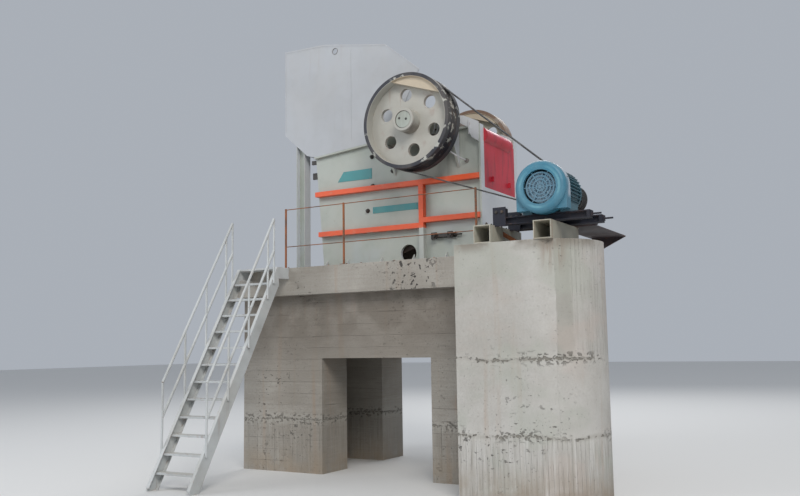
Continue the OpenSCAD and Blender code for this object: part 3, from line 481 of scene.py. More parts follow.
@dataclass(frozen=True)
class PierConcrete(CastConcrete):
    """Concrete of the motor pier, with a stripe of painted shade where its flat front turns to the round
    end.
    """

    shade_stripe: Span = (2.62, 2.785)
    # colour of the painted shade stripe, also used for the dark streaks at the foot
    shade_and_streak_colour: Colour = (0.3, 0.29, 0.25)
    pinkish: Colour = (0.5, 0.435, 0.39)
    greenish: Colour = (0.4, 0.415, 0.36)
    lime: Colour = (0.68, 0.67, 0.64)
    drip_colour: Colour = (0.2, 0.105, 0.06)
    grime_colour: Colour = (0.2, 0.17, 0.135)

    def local_marks(self, s: Surface) -> None:
        """Add the stripe of painted shade, the upright marks beyond it, the streaks at the foot and the rust
        below the beams.

        Args:
            s: The material.
        """
        x, y, z = s.from_point(SHAFT_AXIS)
        z = z + SHAFT_AXIS.z
        start, end = self.shade_stripe
        near = y.rise(-1.2, -1.6)
        beyond = x.rise(end - 0.01, end + 0.02) * near
        self.board_marks(s, z, x + y * self.slant, Boards.UPRIGHT, beyond * z.rise(1.7, 1.9) * 0.75)
        swayed = x + (s.noise(3.0, shift=51.0) * 0.05 - 0.025)
        # painted shade: a dark upright stripe where the flat front turns to the round end
        shade_stripe = swayed.rise(start - 0.008, start + 0.012) * swayed.rise(end + 0.03, end - 0.02) * near
        s.lay(self.shade_and_streak_colour, shade_stripe * z.rise(1.72, 1.8) * 0.62)
        tint = s.noise(1.0, 4.0, (1.0, 1.0, 1.4), 71.0)
        s.lay(self.pinkish, tint.rise(0.5, 0.66) * 0.5)
        s.lay(self.greenish, tint.rise(0.47, 0.34) * 0.5)
        foot = z.rise(0.86, 0.78)
        streaks = s.noise(2.0, 4.0, (9.0, 9.0, 0.55), 73.0)
        s.lay(self.lime, streaks.rise(0.52, 0.7) * foot * 0.45)
        s.lay(self.shade_and_streak_colour, streaks.rise(0.46, 0.32) * foot * 0.35)
        drip = s.noise(1.6, 4.0, (9.0, 9.0, 0.8), 53.0).rise(0.46, 0.6)
        spot = (x - (start - 0.02)).size().rise(0.2, 0.04) * near * z.rise(2.75, 3.28)
        s.lay(self.drip_colour, (drip * 0.8 + 0.15) * spot * 0.7)
        grime = s.noise(2.2, 4.0, shift=57.0).rise(0.4, 0.56) * z.rise(3.12, 3.29)
        s.lay(self.grime_colour, grime * 0.75)
        s.height -= shade_stripe * 0.4


@dataclass(frozen=True)
class Paint:
    """Site-worn paint over steel, with dust, dulled patches, chips and rust runs."""

    name: str
    colour: Colour
    shade: Colour
    dust: Colour = (0.56, 0.51, 0.43)
    rust: Colour = (0.27, 0.115, 0.05)
    roughness: float = 0.5
    chips: float = 0.5
    runs: float = 0.4
    dusty: float = 0.4
    relief: float = 0.0016

    def make(self) -> bpy.types.Material:
        """Return the material."""
        s = Surface(self.name)
        fade = s.noise(1.1, 4.0)
        blots = s.noise(6.0, 4.0, shift=3.0)
        grain = s.noise(90.0, 2.0, shift=5.0)
        faded = fade.rise(0.38, 0.66) * 0.6 + blots.rise(0.45, 0.75) * 0.25
        s.colour = s.mix(self.colour, self.shade, faded)
        self.local_colour(s)
        top = s.axes(s.facing)[2].rise(0.3, 0.9)
        film = s.noise(2.4, 5.0, (1.0, 1.0, 0.5), 11.0).rise(0.42, 0.68)
        s.lay(self.dust, (top * 0.75 + film * 0.3) * self.dusty)
        streaks = s.noise(1.0, 4.0, (11.0, 11.0, 0.7), 17.0).rise(0.6, 0.74)
        tears = streaks * s.noise(1.2, 2.0, shift=19.0).rise(0.45, 0.62)
        s.lay(self.rust, tears * self.runs * 0.5)
        worn = s.edges(0.012) * 0.7 + s.corners(0.06) * 0.3
        chipped = worn * s.noise(16.0, 4.0, shift=21.0).rise(0.5, 0.64)
        spots = s.noise(23.0, shift=23.0).rise(0.72, 0.77)
        bare = (chipped + spots * 0.6).smaller(1.0) * self.chips
        s.lay(self.rust, bare)
        s.height = grain * 0.3 + blots * 0.25 - bare * 0.6
        return s.finish(self.roughness + 0.22 * film + 0.3 * bare, self.relief)

    def local_colour(self, s: Surface) -> None:
        """Add what only one kind of paint has; plain paint has nothing."""


@dataclass(frozen=True)
class FramePaint(Paint):
    """Frame paint, with painted light that makes the faces toward the motor paler."""

    # colour of the painted light on the faces toward the motor
    painted_light_end_colour: Colour = (0.6, 0.62, 0.66)
    oil_colour: Colour = (0.1, 0.1, 0.09)
    dull_colour: Colour = (0.42, 0.455, 0.48)

    def local_colour(self, s: Surface) -> None:
        """Add oily marks below the bearings, dulled paint at the foot and painted light on the end faces.

        Args:
            s: The material.
        """
        x, y, z = s.from_point(SHAFT_AXIS)
        oil = s.noise(1.4, 4.0, (8.0, 8.0, 0.7), 61.0).rise(0.48, 0.66)
        below = (x - 0.1).size().rise(0.75, 0.2) * z.rise(-1.0, -0.25)
        s.lay(self.oil_colour, oil * below * 0.35)
        dull = s.noise(0.9, shift=63.0).rise(0.42, 0.6)
        s.lay(self.dull_colour, dull * z.rise(-1.1, -1.7) * 0.5)
        # painted light: faces that look toward the motor are made paler
        s.lay(self.painted_light_end_colour, s.axes(s.facing)[0].rise(0.75, 0.95) * 0.8)


@dataclass(frozen=True)
class CoverPaint(Paint):
    """Cover paint with a painted pink highlight where it faces up."""

    # colour of the painted highlight on the upward faces
    top_highlight_colour: Colour = (0.68, 0.15, 0.22)
    dirt_colour: Colour = (0.16, 0.015, 0.02)

    def local_colour(self, s: Surface) -> None:
        """Add the painted highlight on the upward faces and the grimy parts.

        Args:
            s: The material.
        """
        cloud = s.noise(2.0, 4.0, shift=75.0)
        # painted highlight: upward faces, above all the roll's top, turn pale pink
        sunlit = s.axes(s.facing)[2].rise(0.05, 0.6)
        s.lay(self.top_highlight_colour, sunlit * (cloud.rise(0.3, 0.6) * 0.5 + 0.45))
        dirt = s.noise(3.0, 4.0, (3.0, 3.0, 0.7), 77.0).rise(0.5, 0.66)
        s.lay(self.dirt_colour, dirt * 0.45)


@dataclass(frozen=True)
class RibPaint(Paint):
    """Rib paint; the upright rib's foot below the lower ribs was never painted over."""

    thin_colour: Colour = (0.62, 0.2, 0.12)
    foot_colour: Colour = (0.43, 0.45, 0.42)
    foot_top: float = 3.83
    foot_blur: float = 0.006

    def local_colour(self, s: Surface) -> None:
        """Add the thin, uneven coats and the pale foot.

        Args:
            s: The material.
        """
        thin = s.noise(7.0, 4.0, (1.0, 1.0, 2.0), 65.0).rise(0.56, 0.7)
        s.lay(self.thin_colour, thin * 0.5)
        swayed = s.axes()[2] + s.noise(14.0, 2.0, shift=67.0) * 0.02
        s.lay(self.foot_colour, swayed.rise(self.foot_top + self.foot_blur, self.foot_top - self.foot_blur))


@dataclass(frozen=True)
class WheelPaint(Paint):
    """Wheel paint: a pale web, a dark worn rim and a tan counterweight."""

    rim_colour: Colour = (0.02, 0.021, 0.03)
    rub_colour: Colour = (0.5, 0.5, 0.45)
    weight_colour: Colour = (0.52, 0.44, 0.33)
    smudge: Colour = (0.3, 0.2, 0.17)
    # colour of the painted shade, with a brown stain, under the hub
    hub_shade_and_stain: Colour = (0.13, 0.1, 0.085)
    hole_ring: float = 0.47
    hub_r: float = 0.19
    rim_inner: float = 0.685
    weight_chord: float = 0.526
    weight_turn: float = math.radians(71)
    patches: float = 1.0

    def local_colour(self, s: Surface) -> None:
        """Add smudges round the holes, painted shade with a stain under the hub, the counterweight's colour
        and the rim's.

        Args:
            s: The material.
        """
        x, _, z = s.from_point(SHAFT_AXIS)
        radius = (x * x + z * z) ** 0.5
        toward = x * math.cos(self.weight_turn) + z * math.sin(self.weight_turn)
        smear = s.noise(5.0, 4.0, shift=33.0)
        ring = (radius - self.hole_ring).size().rise(0.2, 0.03)
        s.lay(self.smudge, smear.rise(0.52, 0.7) * ring * 0.5)
        out_x, _, out_z = s.axes(s.facing)
        # painted shade with a brown stain on the hub's faces that look down
        under = (out_x * 0.3 - out_z).rise(0.2, 0.75) * radius.rise(self.hub_r + 0.01, self.hub_r)
        s.lay(self.hub_shade_and_stain, under * smear.rise(0.35, 0.6) * 0.75)
        s.lay(self.weight_colour, toward.rise(self.weight_chord - 0.002, self.weight_chord + 0.002))
        rub = s.noise(9.0, 4.0, shift=35.0).rise(0.54, 0.6) * s.noise(1.4, 2.0, shift=37.0).rise(0.48, 0.56)
        rim = s.mix(self.rim_colour, self.rub_colour, rub * self.patches * 0.85)
        s.lay(rim, radius.rise(self.rim_inner, self.rim_inner + 0.006))


@dataclass(frozen=True)
class FanCoverPaint(Paint):
    """Motor paint whose grille is greyer and whose bowl has gathered dust."""

    grille_colour: Colour = (0.1, 0.2, 0.275)
    grille_r: float = 0.215
    bowl_colour: Colour = (0.17, 0.42, 0.49)
    bowl_r: float = 0.262
    band_colour: Colour = (0.5, 0.53, 0.58)
    band_r: float = 0.325
    band_from: float = -2.3

    def local_colour(self, s: Surface) -> None:
        """Add the grille's tint, the paler bowl and the chalky band behind the mouth.

        Args:
            s: The material.
        """
        x, y, z = s.from_point(MOTOR_AXIS)
        radius = (x * x + z * z) ** 0.5
        s.lay(self.grille_colour, radius.rise(self.grille_r + 0.004, self.grille_r - 0.004) * 0.8)
        bowl = (radius - self.bowl_r).size().rise(0.022, 0.008)
        s.lay(self.bowl_colour, bowl * s.noise(3.0, 2.0, shift=79.0).rise(0.35, 0.6) * 0.5)
        chalk = s.noise(3.5, 4.0, shift=81.0).rise(0.3, 0.5)
        behind = y.rise(self.band_from, self.band_from + 0.02)
        side = radius.rise(self.band_r, self.band_r + 0.006) * z.rise(-0.17, -0.08)
        s.lay(self.band_colour, behind * side * chalk * 0.8)


@dataclass(frozen=True)
class BareSteel:
    """Worn, oiled or rusty bare steel."""

    name: str
    bright: Colour
    dull: Colour
    rust: Colour = (0.22, 0.1, 0.05)
    dust: Colour = (0.46, 0.42, 0.35)
    rusty: float = 0.5
    roughness: float = 0.45
    metallic: float = 0.7
    relief: float = 0.0012

    def make(self) -> bpy.types.Material:
        """Return the material."""
        s = Surface(self.name)
        broad = s.noise(4.0, 5.0)
        scale = s.noise(40.0, 4.0, shift=4.0)
        scratch = s.noise(14.0, 3.0, (1.0, 1.0, 9.0), 6.0)
        s.colour = s.mix(self.dull, self.bright, broad.rise(0.35, 0.65) * 0.6 + scratch.rise(0.4, 0.7) * 0.4)
        flakes = broad * 0.6 + scale * 0.4
        rusted = flakes.rise(0.62 - 0.25 * self.rusty, 0.72 - 0.2 * self.rusty)
        s.lay(self.rust, rusted * self.rusty)
        s.lay(self.dust, s.axes(s.facing)[2].rise(0.5, 0.95) * 0.3)
        s.height = scale * 0.5 + rusted * 0.4
        rough = self.roughness + rusted * 0.35 + scale * 0.12
        return s.finish(rough, self.relief, self.metallic * (1.0 - rusted * 0.85))


@dataclass(frozen=True)
class Rubber:
    """Belt rubber, greyed with dust."""

    name: str
    colour: Colour = (0.03, 0.03, 0.032)
    dust: Colour = (0.2, 0.19, 0.175)
    relief: float = 0.0006

    def make(self) -> bpy.types.Material:
        """Return the material."""
        s = Surface(self.name)
        film = s.noise(7.0, 4.0)
        s.height = s.noise(120.0, 2.0)
        s.colour = s.mix(self.colour, self.dust, film.rise(0.4, 0.7) * 0.5)
        return s.finish(0.72 + film * 0.2, self.relief)


Finish = CastConcrete | Paint | BareSteel | Rubber

BEAM_CONCRETE = CastConcrete("beam_concrete", (0.41, 0.385, 0.345), (0.27, 0.245, 0.21), board_w=0.22,
                             board_depth=0.4, marks=0.45, rust_share=1.4, tie_holes=True)
WALL_CONCRETE = CastConcrete("wall_concrete", (0.4, 0.375, 0.335), (0.265, 0.24, 0.205), marks=0.7,
                             joints=(0.83,), upright_below=0.83, shade_top=2.81, worn_edges=False)
PIER_CONCRETE = PierConcrete("pier_concrete", (0.535, 0.52, 0.49), (0.4, 0.38, 0.345), boards=Boards.SMOOTH,
                             joints=(1.78, 0.82), upright_below=0.82, board_w=0.075)
BODY_PAINT = FramePaint("body_paint", (0.415, 0.44, 0.4), (0.315, 0.35, 0.305), chips=0.35, runs=0.3,
                        dusty=0.35)
RIB_PAINT = RibPaint("rib_paint", (0.78, 0.105, 0.03), (0.6, 0.085, 0.035), roughness=0.45, chips=0.4,
                     dusty=0.22)
RED_PAINT = CoverPaint("red_paint", (0.52, 0.015, 0.035), (0.38, 0.012, 0.028), roughness=0.35, chips=0.25,
                       dusty=0.14)
CASTING_PAINT = Paint("casting_paint", (0.07, 0.045, 0.035), (0.04, 0.03, 0.022), roughness=0.6, dusty=0.7)
HOPPER_PAINT = Paint("hopper_paint", (0.445, 0.462, 0.485), (0.395, 0.405, 0.42), roughness=0.6, chips=0.2,
                     runs=0.25, dusty=0.25)
STAIR_PAINT = Paint("stair_paint", (0.56, 0.585, 0.59), (0.4, 0.41, 0.4), chips=0.9, runs=0.7, dusty=0.5)
BEAM_PAINT = Paint("beam_paint", (0.44, 0.425, 0.35), (0.33, 0.31, 0.25), chips=0.95, runs=0.9, dusty=0.5)
RAIL_PAINT = Paint("rail_paint", (0.007, 0.01, 0.024), (0.012, 0.012, 0.02), roughness=0.6, chips=0.3,
                   dusty=0.06)
DECK_PAINT = Paint("deck_paint", (0.04, 0.025, 0.027), (0.018, 0.014, 0.022), roughness=0.6, chips=0.9,
                   runs=0.8, dusty=0.12)
MOTOR_PAINT = Paint("motor_paint", (0.03, 0.12, 0.165), (0.025, 0.085, 0.12), roughness=0.4, chips=0.2,
                    dusty=0.3)
COVER_PAINT = FanCoverPaint("fan_cover_paint", (0.042, 0.195, 0.29), (0.03, 0.145, 0.22), roughness=0.35,
                            chips=0.2, runs=0.1, dusty=0.22)
NEAR_WHEEL = WheelPaint("wheel_paint", (0.435, 0.425, 0.385), (0.34, 0.335, 0.3), chips=0.3, runs=0.35)
FAR_WHEEL = WheelPaint("far_wheel_paint", (0.47, 0.455, 0.38), (0.36, 0.35, 0.285), chips=0.3, runs=0.35,
                       rim_colour=(0.2, 0.125, 0.085), rim_inner=0.639, patches=0.35)
SIGN_PAINT = Paint("sign_paint", (0.045, 0.26, 0.27), (0.04, 0.2, 0.21), roughness=0.4, chips=0.2,
                   dusty=0.35)
PALE_PAINT = Paint("pale_paint", (0.55, 0.56, 0.58), (0.4, 0.41, 0.42), chips=0.8, runs=0.5, dusty=0.3)
FAN_PAINT = Paint("fan_paint", (0.33, 0.5, 0.62), (0.24, 0.4, 0.51), chips=0.1, dusty=0.3)
# dark paint for the hub plugs and for the ring of painted shade round the hub caps
PLUG_AND_SHADE_PAINT = Paint("plug_and_shade_paint", (0.03, 0.03, 0.03), (0.02, 0.02, 0.02), chips=0.2, dusty=0.2)
DARK_STEEL = BareSteel("dark_steel", (0.09, 0.085, 0.08), (0.035, 0.033, 0.03), rusty=0.3, roughness=0.4)
WORN_STEEL = BareSteel("worn_steel", (0.36, 0.34, 0.32), (0.17, 0.15, 0.13), rusty=0.4)
RUSTY_STEEL = BareSteel("rusty_steel", (0.26, 0.14, 0.09), (0.14, 0.08, 0.055), rust=(0.33, 0.12, 0.05),
                        rusty=0.85, roughness=0.75, metallic=0.25)
BELT_RUBBER = Rubber("belt_rubber")

NODE_FINISHES: dict[Finish, tuple[str, ...]] = {
    BEAM_CONCRETE: ("near_beam", "far_beam", "deck_slab_feed", "deck_slab_motor"),
    WALL_CONCRETE: ("near_wall_feed", "near_wall_motor", "near_lintel", "far_wall_feed", "far_wall_motor",
                    "far_lintel", "end_wall_feed", "end_wall_motor"),
    PIER_CONCRETE: ("motor_pier",),
    BODY_PAINT: ("side_plate_near", "side_plate_far", "front_wall", "rear_wall", "bearing_near",
                 "bearing_far", "hopper_legs"),
    RIB_PAINT: ("ribs_near", "ribs_far"),
    RED_PAINT: ("rear_cover",),
    CASTING_PAINT: ("pitman",),
    HOPPER_PAINT: ("hopper_wall_near", "hopper_wall_far", "hopper_rear", "hopper_floor"),
    STAIR_PAINT: ("stair_stringer_feed", "stair_stringer_motor", "stair_treads", "handrail_feed",
                  "handrail_motor"),
    BEAM_PAINT: ("box_beams",),
    RAIL_PAINT: ("slide_rails",),
    DECK_PAINT: ("deck_plate",),
    MOTOR_PAINT: ("motor_body",),
    COVER_PAINT: ("fan_cover",),
    NEAR_WHEEL: ("flywheel_near",),
    FAR_WHEEL: ("flywheel_far",),
    DARK_STEEL: ("toggle_block", "tension_rod", "eccentric_shaft", "motor_rotor"),
    WORN_STEEL: ("fixed_jaw_plate", "moving_jaw_plate", "cheek_plates", "toggle_plate"),
    RUSTY_STEEL: ("guard_rail",),
    BELT_RUBBER: ("belts",),
}


@cache
def wear(finish: Finish) -> bpy.types.Material:
    """Return a finish's material, made once."""
    return finish.make()


@dataclass(frozen=True)
class Trim:
    """A fitted piece's finish, and the record's material slot that it stands for, which is not given to the
    piece.
    """

    finish: Finish
    slot: str


BODY = Trim(BODY_PAINT, "frame_paint")
PALE = Trim(PALE_PAINT, "frame_paint")
DARK = Trim(DARK_STEEL, "dark_steel")
PLUG_AND_SHADE = Trim(PLUG_AND_SHADE_PAINT, "dark_steel")
WORN = Trim(WORN_STEEL, "worn_steel")
RUSTY = Trim(RUSTY_STEEL, "rusty_steel")
SIGN = Trim(SIGN_PAINT, "motor_paint")
TEAL = Trim(MOTOR_PAINT, "motor_paint")
FAN = Trim(FAN_PAINT, "motor_paint")
NAVY = Trim(RAIL_PAINT, "rail_paint")
CREAM = Trim(NEAR_WHEEL, "wheel_paint")
HOPPER = Trim(HOPPER_PAINT, "hopper_paint")


def out_of(side: float) -> Vector:
    """Return the way out of a side of the crusher; -1 is the stair's side."""
    return Vector((0.0, side, 0.0))


def angles(count: int, turn: float = 0.0) -> list[float]:
    """Return evenly spaced angles round a circle, in radians."""
    return [turn + 2 * math.pi * k / count for k in range(count)]


class Shape:
    """Collects the faces of one fitted piece."""

    def __init__(self) -> None:
        """Start with no faces."""
        self.bm = bmesh.new()

    def ring(self, points: Iterable[Point]) -> list[bmesh.types.BMVert]:
        """Add corners and return them."""
        return [self.bm.verts.new(tuple(p)) for p in points]

    def skin(self, rings: Sequence[list[bmesh.types.BMVert]], closed: bool = False) -> None:
        """Join rings of corners by faces.

        Args:
            rings: The rings in order, all with the same number of corners.
            closed: Joins the last ring to the first; otherwise both ends are capped.
        """
        pairs = list(zip(rings, rings[1:]))
        if closed:
            pairs.append((rings[-1], rings[0]))
        for low, high in pairs:
            for k in range(len(low)):
                n = (k + 1) % len(low)
                self.bm.faces.new((low[k], low[n], high[n], high[k]))
        if not closed:
            self.bm.faces.new(list(reversed(rings[0])))
            self.bm.faces.new(rings[-1])

    def box(self, low: Point, high: Point) -> None:
        """Add a box from its lowest to its highest corner."""
        plan = ((low[0], low[1]), (high[0], low[1]), (high[0], high[1]), (low[0], high[1]))
        self.skin([self.ring((px, py, pz) for px, py in plan) for pz in (low[2], high[2])])

    def side_box(self, side: float, along: Span, out: Span, up: Span) -> None:
        """Add a box on one side of the crusher.

        Args:
            side: The side, -1 or 1.
            along: Its span from the shaft's axis.
            out: Its span out from the crusher's mid-plane.
            up: Its span above the ground.
        """
        near, far = sorted(side * y for y in out)
        self.box(at(along[0], near, up[0]), at(along[1], far, up[1]))

    def slab(self, outline: Iterable[Point], thickness: Point) -> None:
        """Add a flat plate from its outline and its thickness as a vector."""
        lower = [Vector(p) for p in outline]
        self.skin([self.ring(lower), self.ring(p + Vector(thickness) for p in lower)])

    def frame_at(self, direction: Vector) -> tuple[Vector, Vector, Vector]:
        """Find the directions crosswise to one.

        Args:
            direction: The direction.

        Returns:
            Two crosswise unit directions and the unit direction itself.
        """
        way = direction.normalized()
        side = way.cross(UP)
        side = side.normalized() if side.length > 1e-4 else ALONG
        return side, way.cross(side), way

    def turned(self, start: Vector, direction: Vector, profile: Sequence[Span], sides: int = 24,
               turn: float = 0.0, closed: bool = False) -> None:
        """Turn a profile round an axis.

        Args:
            start: Where the axis starts.
            direction: Its direction.
            profile: Pairs of distance along the axis and radius.
            sides: Number of sides.
            turn: Turns the first corner, in radians.
            closed: Joins the profile's last pair to its first, for a ring.
        """
        side, up, way = self.frame_at(direction)
        spokes = [side * math.cos(a) + up * math.sin(a) for a in angles(sides, turn)]
        rings = [self.ring(start + way * along + spoke * radius for spoke in spokes)
                 for along, radius in profile]
        self.skin(rings, closed=closed)

    def hoop(self, middle: Vector, axis: Vector, radius: float, thick: float, sides: int = 40,
             small: int = 8) -> None:
        """Add a round ring.

        Args:
            middle: Its middle.
            axis: The axis it goes round.
            radius: Radius to the middle of its bar.
            thick: Radius of its bar.
            sides: Number of sides round the axis.
            small: Number of sides round the bar.
        """
        side, up, way = self.frame_at(axis)
        rings = []
        for a in angles(sides):
            out = side * math.cos(a) + up * math.sin(a)
            rings.append(self.ring(middle + out * (radius + thick * math.cos(b)) + way * thick * math.sin(b)
                                   for b in angles(small)))
        self.skin(rings, closed=True)

    def pipe(self, points: Sequence[Vector], radius: float, sides: int) -> None:
        """Add a round pipe along a bent line.

        Args:
            points: The line's points.
            radius: The pipe's radius.
            sides: Number of sides.
        """
        rings = []
        for before, point, after in zip([points[0], *points], points, [*points[1:], points[-1]]):
            side, up, _ = self.frame_at(after - before)
            rings.append(self.ring(point + (side * math.cos(a) + up * math.sin(a)) * radius
                                   for a in angles(sides)))
        self.skin(rings)

    def bolt(self, seat: Vector, direction: Vector, size: float, nut: bool = False,
             turn: float = 0.2) -> None:
        """Add a hexagon bolt head with its washer, or a nut with the bolt's end.

        Args:
            seat: Point of the surface that it sits on.
            direction: Way out of the surface.
            size: Diameter of the thread.
            nut: Adds the thread's end.
            turn: Turns the hexagon.
        """
        washer, washer_r, head_r, thread_r = 0.16 * size, 1.05 * size, 0.86 * size, 0.5 * size
        top, chamfer = washer + 0.72 * size, 0.1 * size
        self.turned(seat, direction, ((0, washer_r), (washer, washer_r), (washer + 1e-4, thread_r)), 20)
        head = ((washer, head_r), (top - chamfer, head_r), (top, head_r - 1.2 * chamfer))
        self.turned(seat, direction, head, 6, turn)
        if nut:
            end = ((top, thread_r), (top + thread_r, thread_r), (top + 0.56 * size, 0.42 * size))
            self.turned(seat, direction, end, 12)

    def piece(self, name: str, trim: Trim, rounded: float = 0.0, body: str = PLANT) -> None:
        """Close the mesh and hang the piece on its body.

        Args:
            name: The piece's name.
            trim: Its finish and slot.
            rounded: Width of the rounding on sharp edges, in metres.
            body: The body that it rides on.
        """
        bmesh.ops.recalc_face_normals(self.bm, faces=self.bm.faces)
        if rounded:
            sharp = [e for e in self.bm.edges if e.calc_face_angle(0.0) > math.radians(50)]
            bmesh.ops.bevel(self.bm, geom=sharp, offset=rounded, segments=2, affect="EDGES",
                            clamp_overlap=True)
        mesh = bpy.data.meshes.new(name)
        self.bm.to_mesh(mesh)
        self.bm.free()
        made = bpy.data.objects.new(name, mesh)
        bpy.context.scene.collection.objects.link(made)
        mesh.materials.append(wear(trim.finish))
        for face in mesh.polygons:
            face.use_smooth = True
        mesh.set_sharp_from_angle(angle=math.radians(35))
        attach(made, body)
        LOG.info("%s: %d faces", name, len(mesh.polygons))


@dataclass(frozen=True)
class BoltGroup:
    """Bolts of one size that make up one fitted piece."""

    name: str
    size: float
    trim: Trim
    rounded: float
    nut: bool = False

    def fit(self, seats: Iterable[tuple[Vector, Vector, float]]) -> None:
        """Add the bolts.

        Args:
            seats: For each bolt its place, the way out of the surface and its turn.
        """
        shape = Shape()
        for place, way, turn in seats:
            shape.bolt(place, way, self.size, self.nut, turn)
        shape.piece(self.name, self.trim, self.rounded)


@dataclass
class FrameDetail:
    """Bolts, blank plates, anchors and adjusters on the crusher's frame."""

    plate_y: float = 0.64
    foot_y: float = 0.715
    foot_top: float = 3.29
    cheek_bolts: Outline = ((-1.066, 5.09), (-0.667, 4.807), (-1.053, 4.6), (-1.156, 4.194))
    anchors: tuple[float, ...] = (-1.9, -1.25, -0.62, 0.1, 0.78)
    upper_plate: Outline = ((-1.75, 4.735), (-1.63, 4.9), (-1.07, 4.902), (-1.072, 4.727))
    lower_plate: Outline = ((-1.058, 4.14), (-1.058, 4.245), (-0.211, 4.245), (-0.211, 4.14))
    plate_t: float = 0.006
    rivet_inset: Span = (0.0352, 0.018)
    slot_z: float = 3.675
    keeper_x: Outline = ((0.03, 0.062), (0.443, 0.475))
    keeper_t: float = 0.028
    keeper_h: float = 0.055
    wedge_x: Outline = ((0.066, 0.16), (0.35, 0.438))
    wedge_out: Span = (0.7105, 0.74)
    wedge_z: Span = (-0.058, 0.05)
    keeper_screw: float = 0.016
    keeper_screw_rise: float = 0.03
    jack: float = 0.022
    jack_x: Span = (0.435, 0.482)
    jack_y: float = 0.685
    jack_rod: Outline = ((0, 0.013), (0.14, 0.013))
    gusset_x: tuple[float, ...] = (-1.98, -1.56, -0.9, -0.3, 0.28, 0.62)
    gusset_size: tuple[float, float, float] = (0.018, 0.1, 0.13)
    gusset_toe: float = 0.02
    grease_route: tuple[Place, ...] = ((0.27, 0.965, 5.2), (0.36, 0.965, 5.1), (0.5, 0.965, 4.95),
                                       (0.6, 0.845, 4.86), (0.66, 0.665, 4.82), (0.67, 0.646, 4.815))
    pipe_r: float = 0.011
    nipple_y: float = 0.6405
    housing_bolt_count: int = 10
    housing_ring: float = 0.307
    housing_y: float = 0.94
    bracket: Outline = ((0.56, 5.53), (0.68, 5.51), (0.925, 5.385), (0.915, 5.08), (0.8, 5.155),
                        (0.735, 5.32), (0.61, 5.4))
    bracket_out: tuple[float, float, float] = (0.7155, 0.7275, 0.76)
    bracket_bar: tuple[Span, Span] = ((0.76, 0.772), (5.2, 5.43))
    lug_x: Span = (-2.14, -2.03)
    lug_out: Span = (0.6, 0.638)
    lug_z: Outline = ((5.1, 5.17), (4.84, 4.95))
    front_slope: float = 0.165 / 1.963

    def build(self) -> None:
        """Add every piece."""
        self.through_bolts()
        self.plates()
        self.anchor_bolts()
        self.adjusters()
        self.gussets()
        self.grease_line()
        self.housing_bolts()
        self.end_brackets()
        self.front_lugs()

    def through_bolts(self) -> None:
        """Add the cheek plates' through bolts on both sides."""
        BoltGroup("cheek_bolts", 0.036, DARK, 0.0012, nut=True).fit(
            (at(x, side * self.plate_y, z), out_of(side), x * 9)
            for side in SIDES for x, z in self.cheek_bolts)

    def plates(self) -> None:
        """Add the two bare plates on the stair side, with their rivets."""
        plates, rivets = Shape(), Shape()
        face = -self.plate_y - self.plate_t
        inset_x, inset_z = self.rivet_inset
        for outline in (self.upper_plate, self.lower_plate):
            plates.slab([at(x, face, z) for x, z in outline], (0, self.plate_t, 0))
            middle_x = sum(x for x, _ in outline) / len(outline)
            middle_z = sum(z for _, z in outline) / len(outline)
            for x, z in outline:
                seat = at(x + math.copysign(inset_x, middle_x - x), face,
                          z + math.copysign(inset_z, middle_z - z))
                rivets.turned(seat, out_of(-1), ((0, 0.007), (0.003, 0.0062), (0.0045, 0.003)), 12)
        plates.piece("bare_plates", SIGN, 0.001)
        rivets.piece("plate_rivets", WORN)

    def anchor_bolts(self) -> None:
        """Add the anchor bolts that hold the frame's feet on the concrete."""
        BoltGroup("frame_anchors", 0.036, RUSTY, 0.0012, nut=True).fit(
            (at(x, side * self.foot_y, self.foot_top), UP, x) for side in SIDES for x in self.anchors)

    def adjusters(self) -> None:
        """Add the wedges, keepers and screws at the toggle block's ends."""
        keepers, wedges, screws = Shape(), Shape(), Shape()
        keeper_face = self.plate_y + self.keeper_t
        wedge_face = self.wedge_out[1]
        cup = ((0, 0.036), (0.03, 0.036), (0.032, 0.024), (0.012, 0.022))
        for side in SIDES:
            for low, high in self.keeper_x:
                keepers.side_box(side, (low, high), (self.plate_y, keeper_face),
                                 (self.slot_z - self.keeper_h, self.slot_z + self.keeper_h))
                x = (low + high) / 2
                for rise, spin in ((self.keeper_screw_rise, 5), (-self.keeper_screw_rise, 7)):
                    seat = at(x, side * keeper_face, self.slot_z + rise)
                    screws.bolt(seat, out_of(side), self.keeper_screw, turn=x * spin)
            for low, high in self.wedge_x:
                wedges.side_box(side, (low, high), self.wedge_out,
                                (self.slot_z + self.wedge_z[0], self.slot_z + self.wedge_z[1]))
                wedges.turned(at((low + high) / 2, side * wedge_face, self.slot_z), out_of(side), cup, 28)
            rod, nut = (at(x, side * self.jack_y, self.slot_z) for x in self.jack_x)
            screws.turned(rod, ALONG, self.jack_rod, 16)
            screws.bolt(nut, ALONG, self.jack, nut=True)
        wedges.piece("slot_wedges", DARK, 0.003)
        keepers.piece("slot_keepers", BODY, 0.003)
        screws.piece("slot_screws", DARK, 0.0008)

    def gussets(self) -> None:
        """Add small gussets between the foot flange and the side plates."""
        shape = Shape()
        thick, deep, tall = self.gusset_size
        toe = self.plate_y + deep
        corners = ((self.plate_y, 0), (toe, 0), (toe, self.gusset_toe), (self.plate_y, tall))
        for side in SIDES:
            for x in self.gusset_x:
                shape.slab([at(x, side * y, self.foot_top + z) for y, z in corners], (thick, 0, 0))
        shape.piece("foot_gussets", BODY, 0.002)

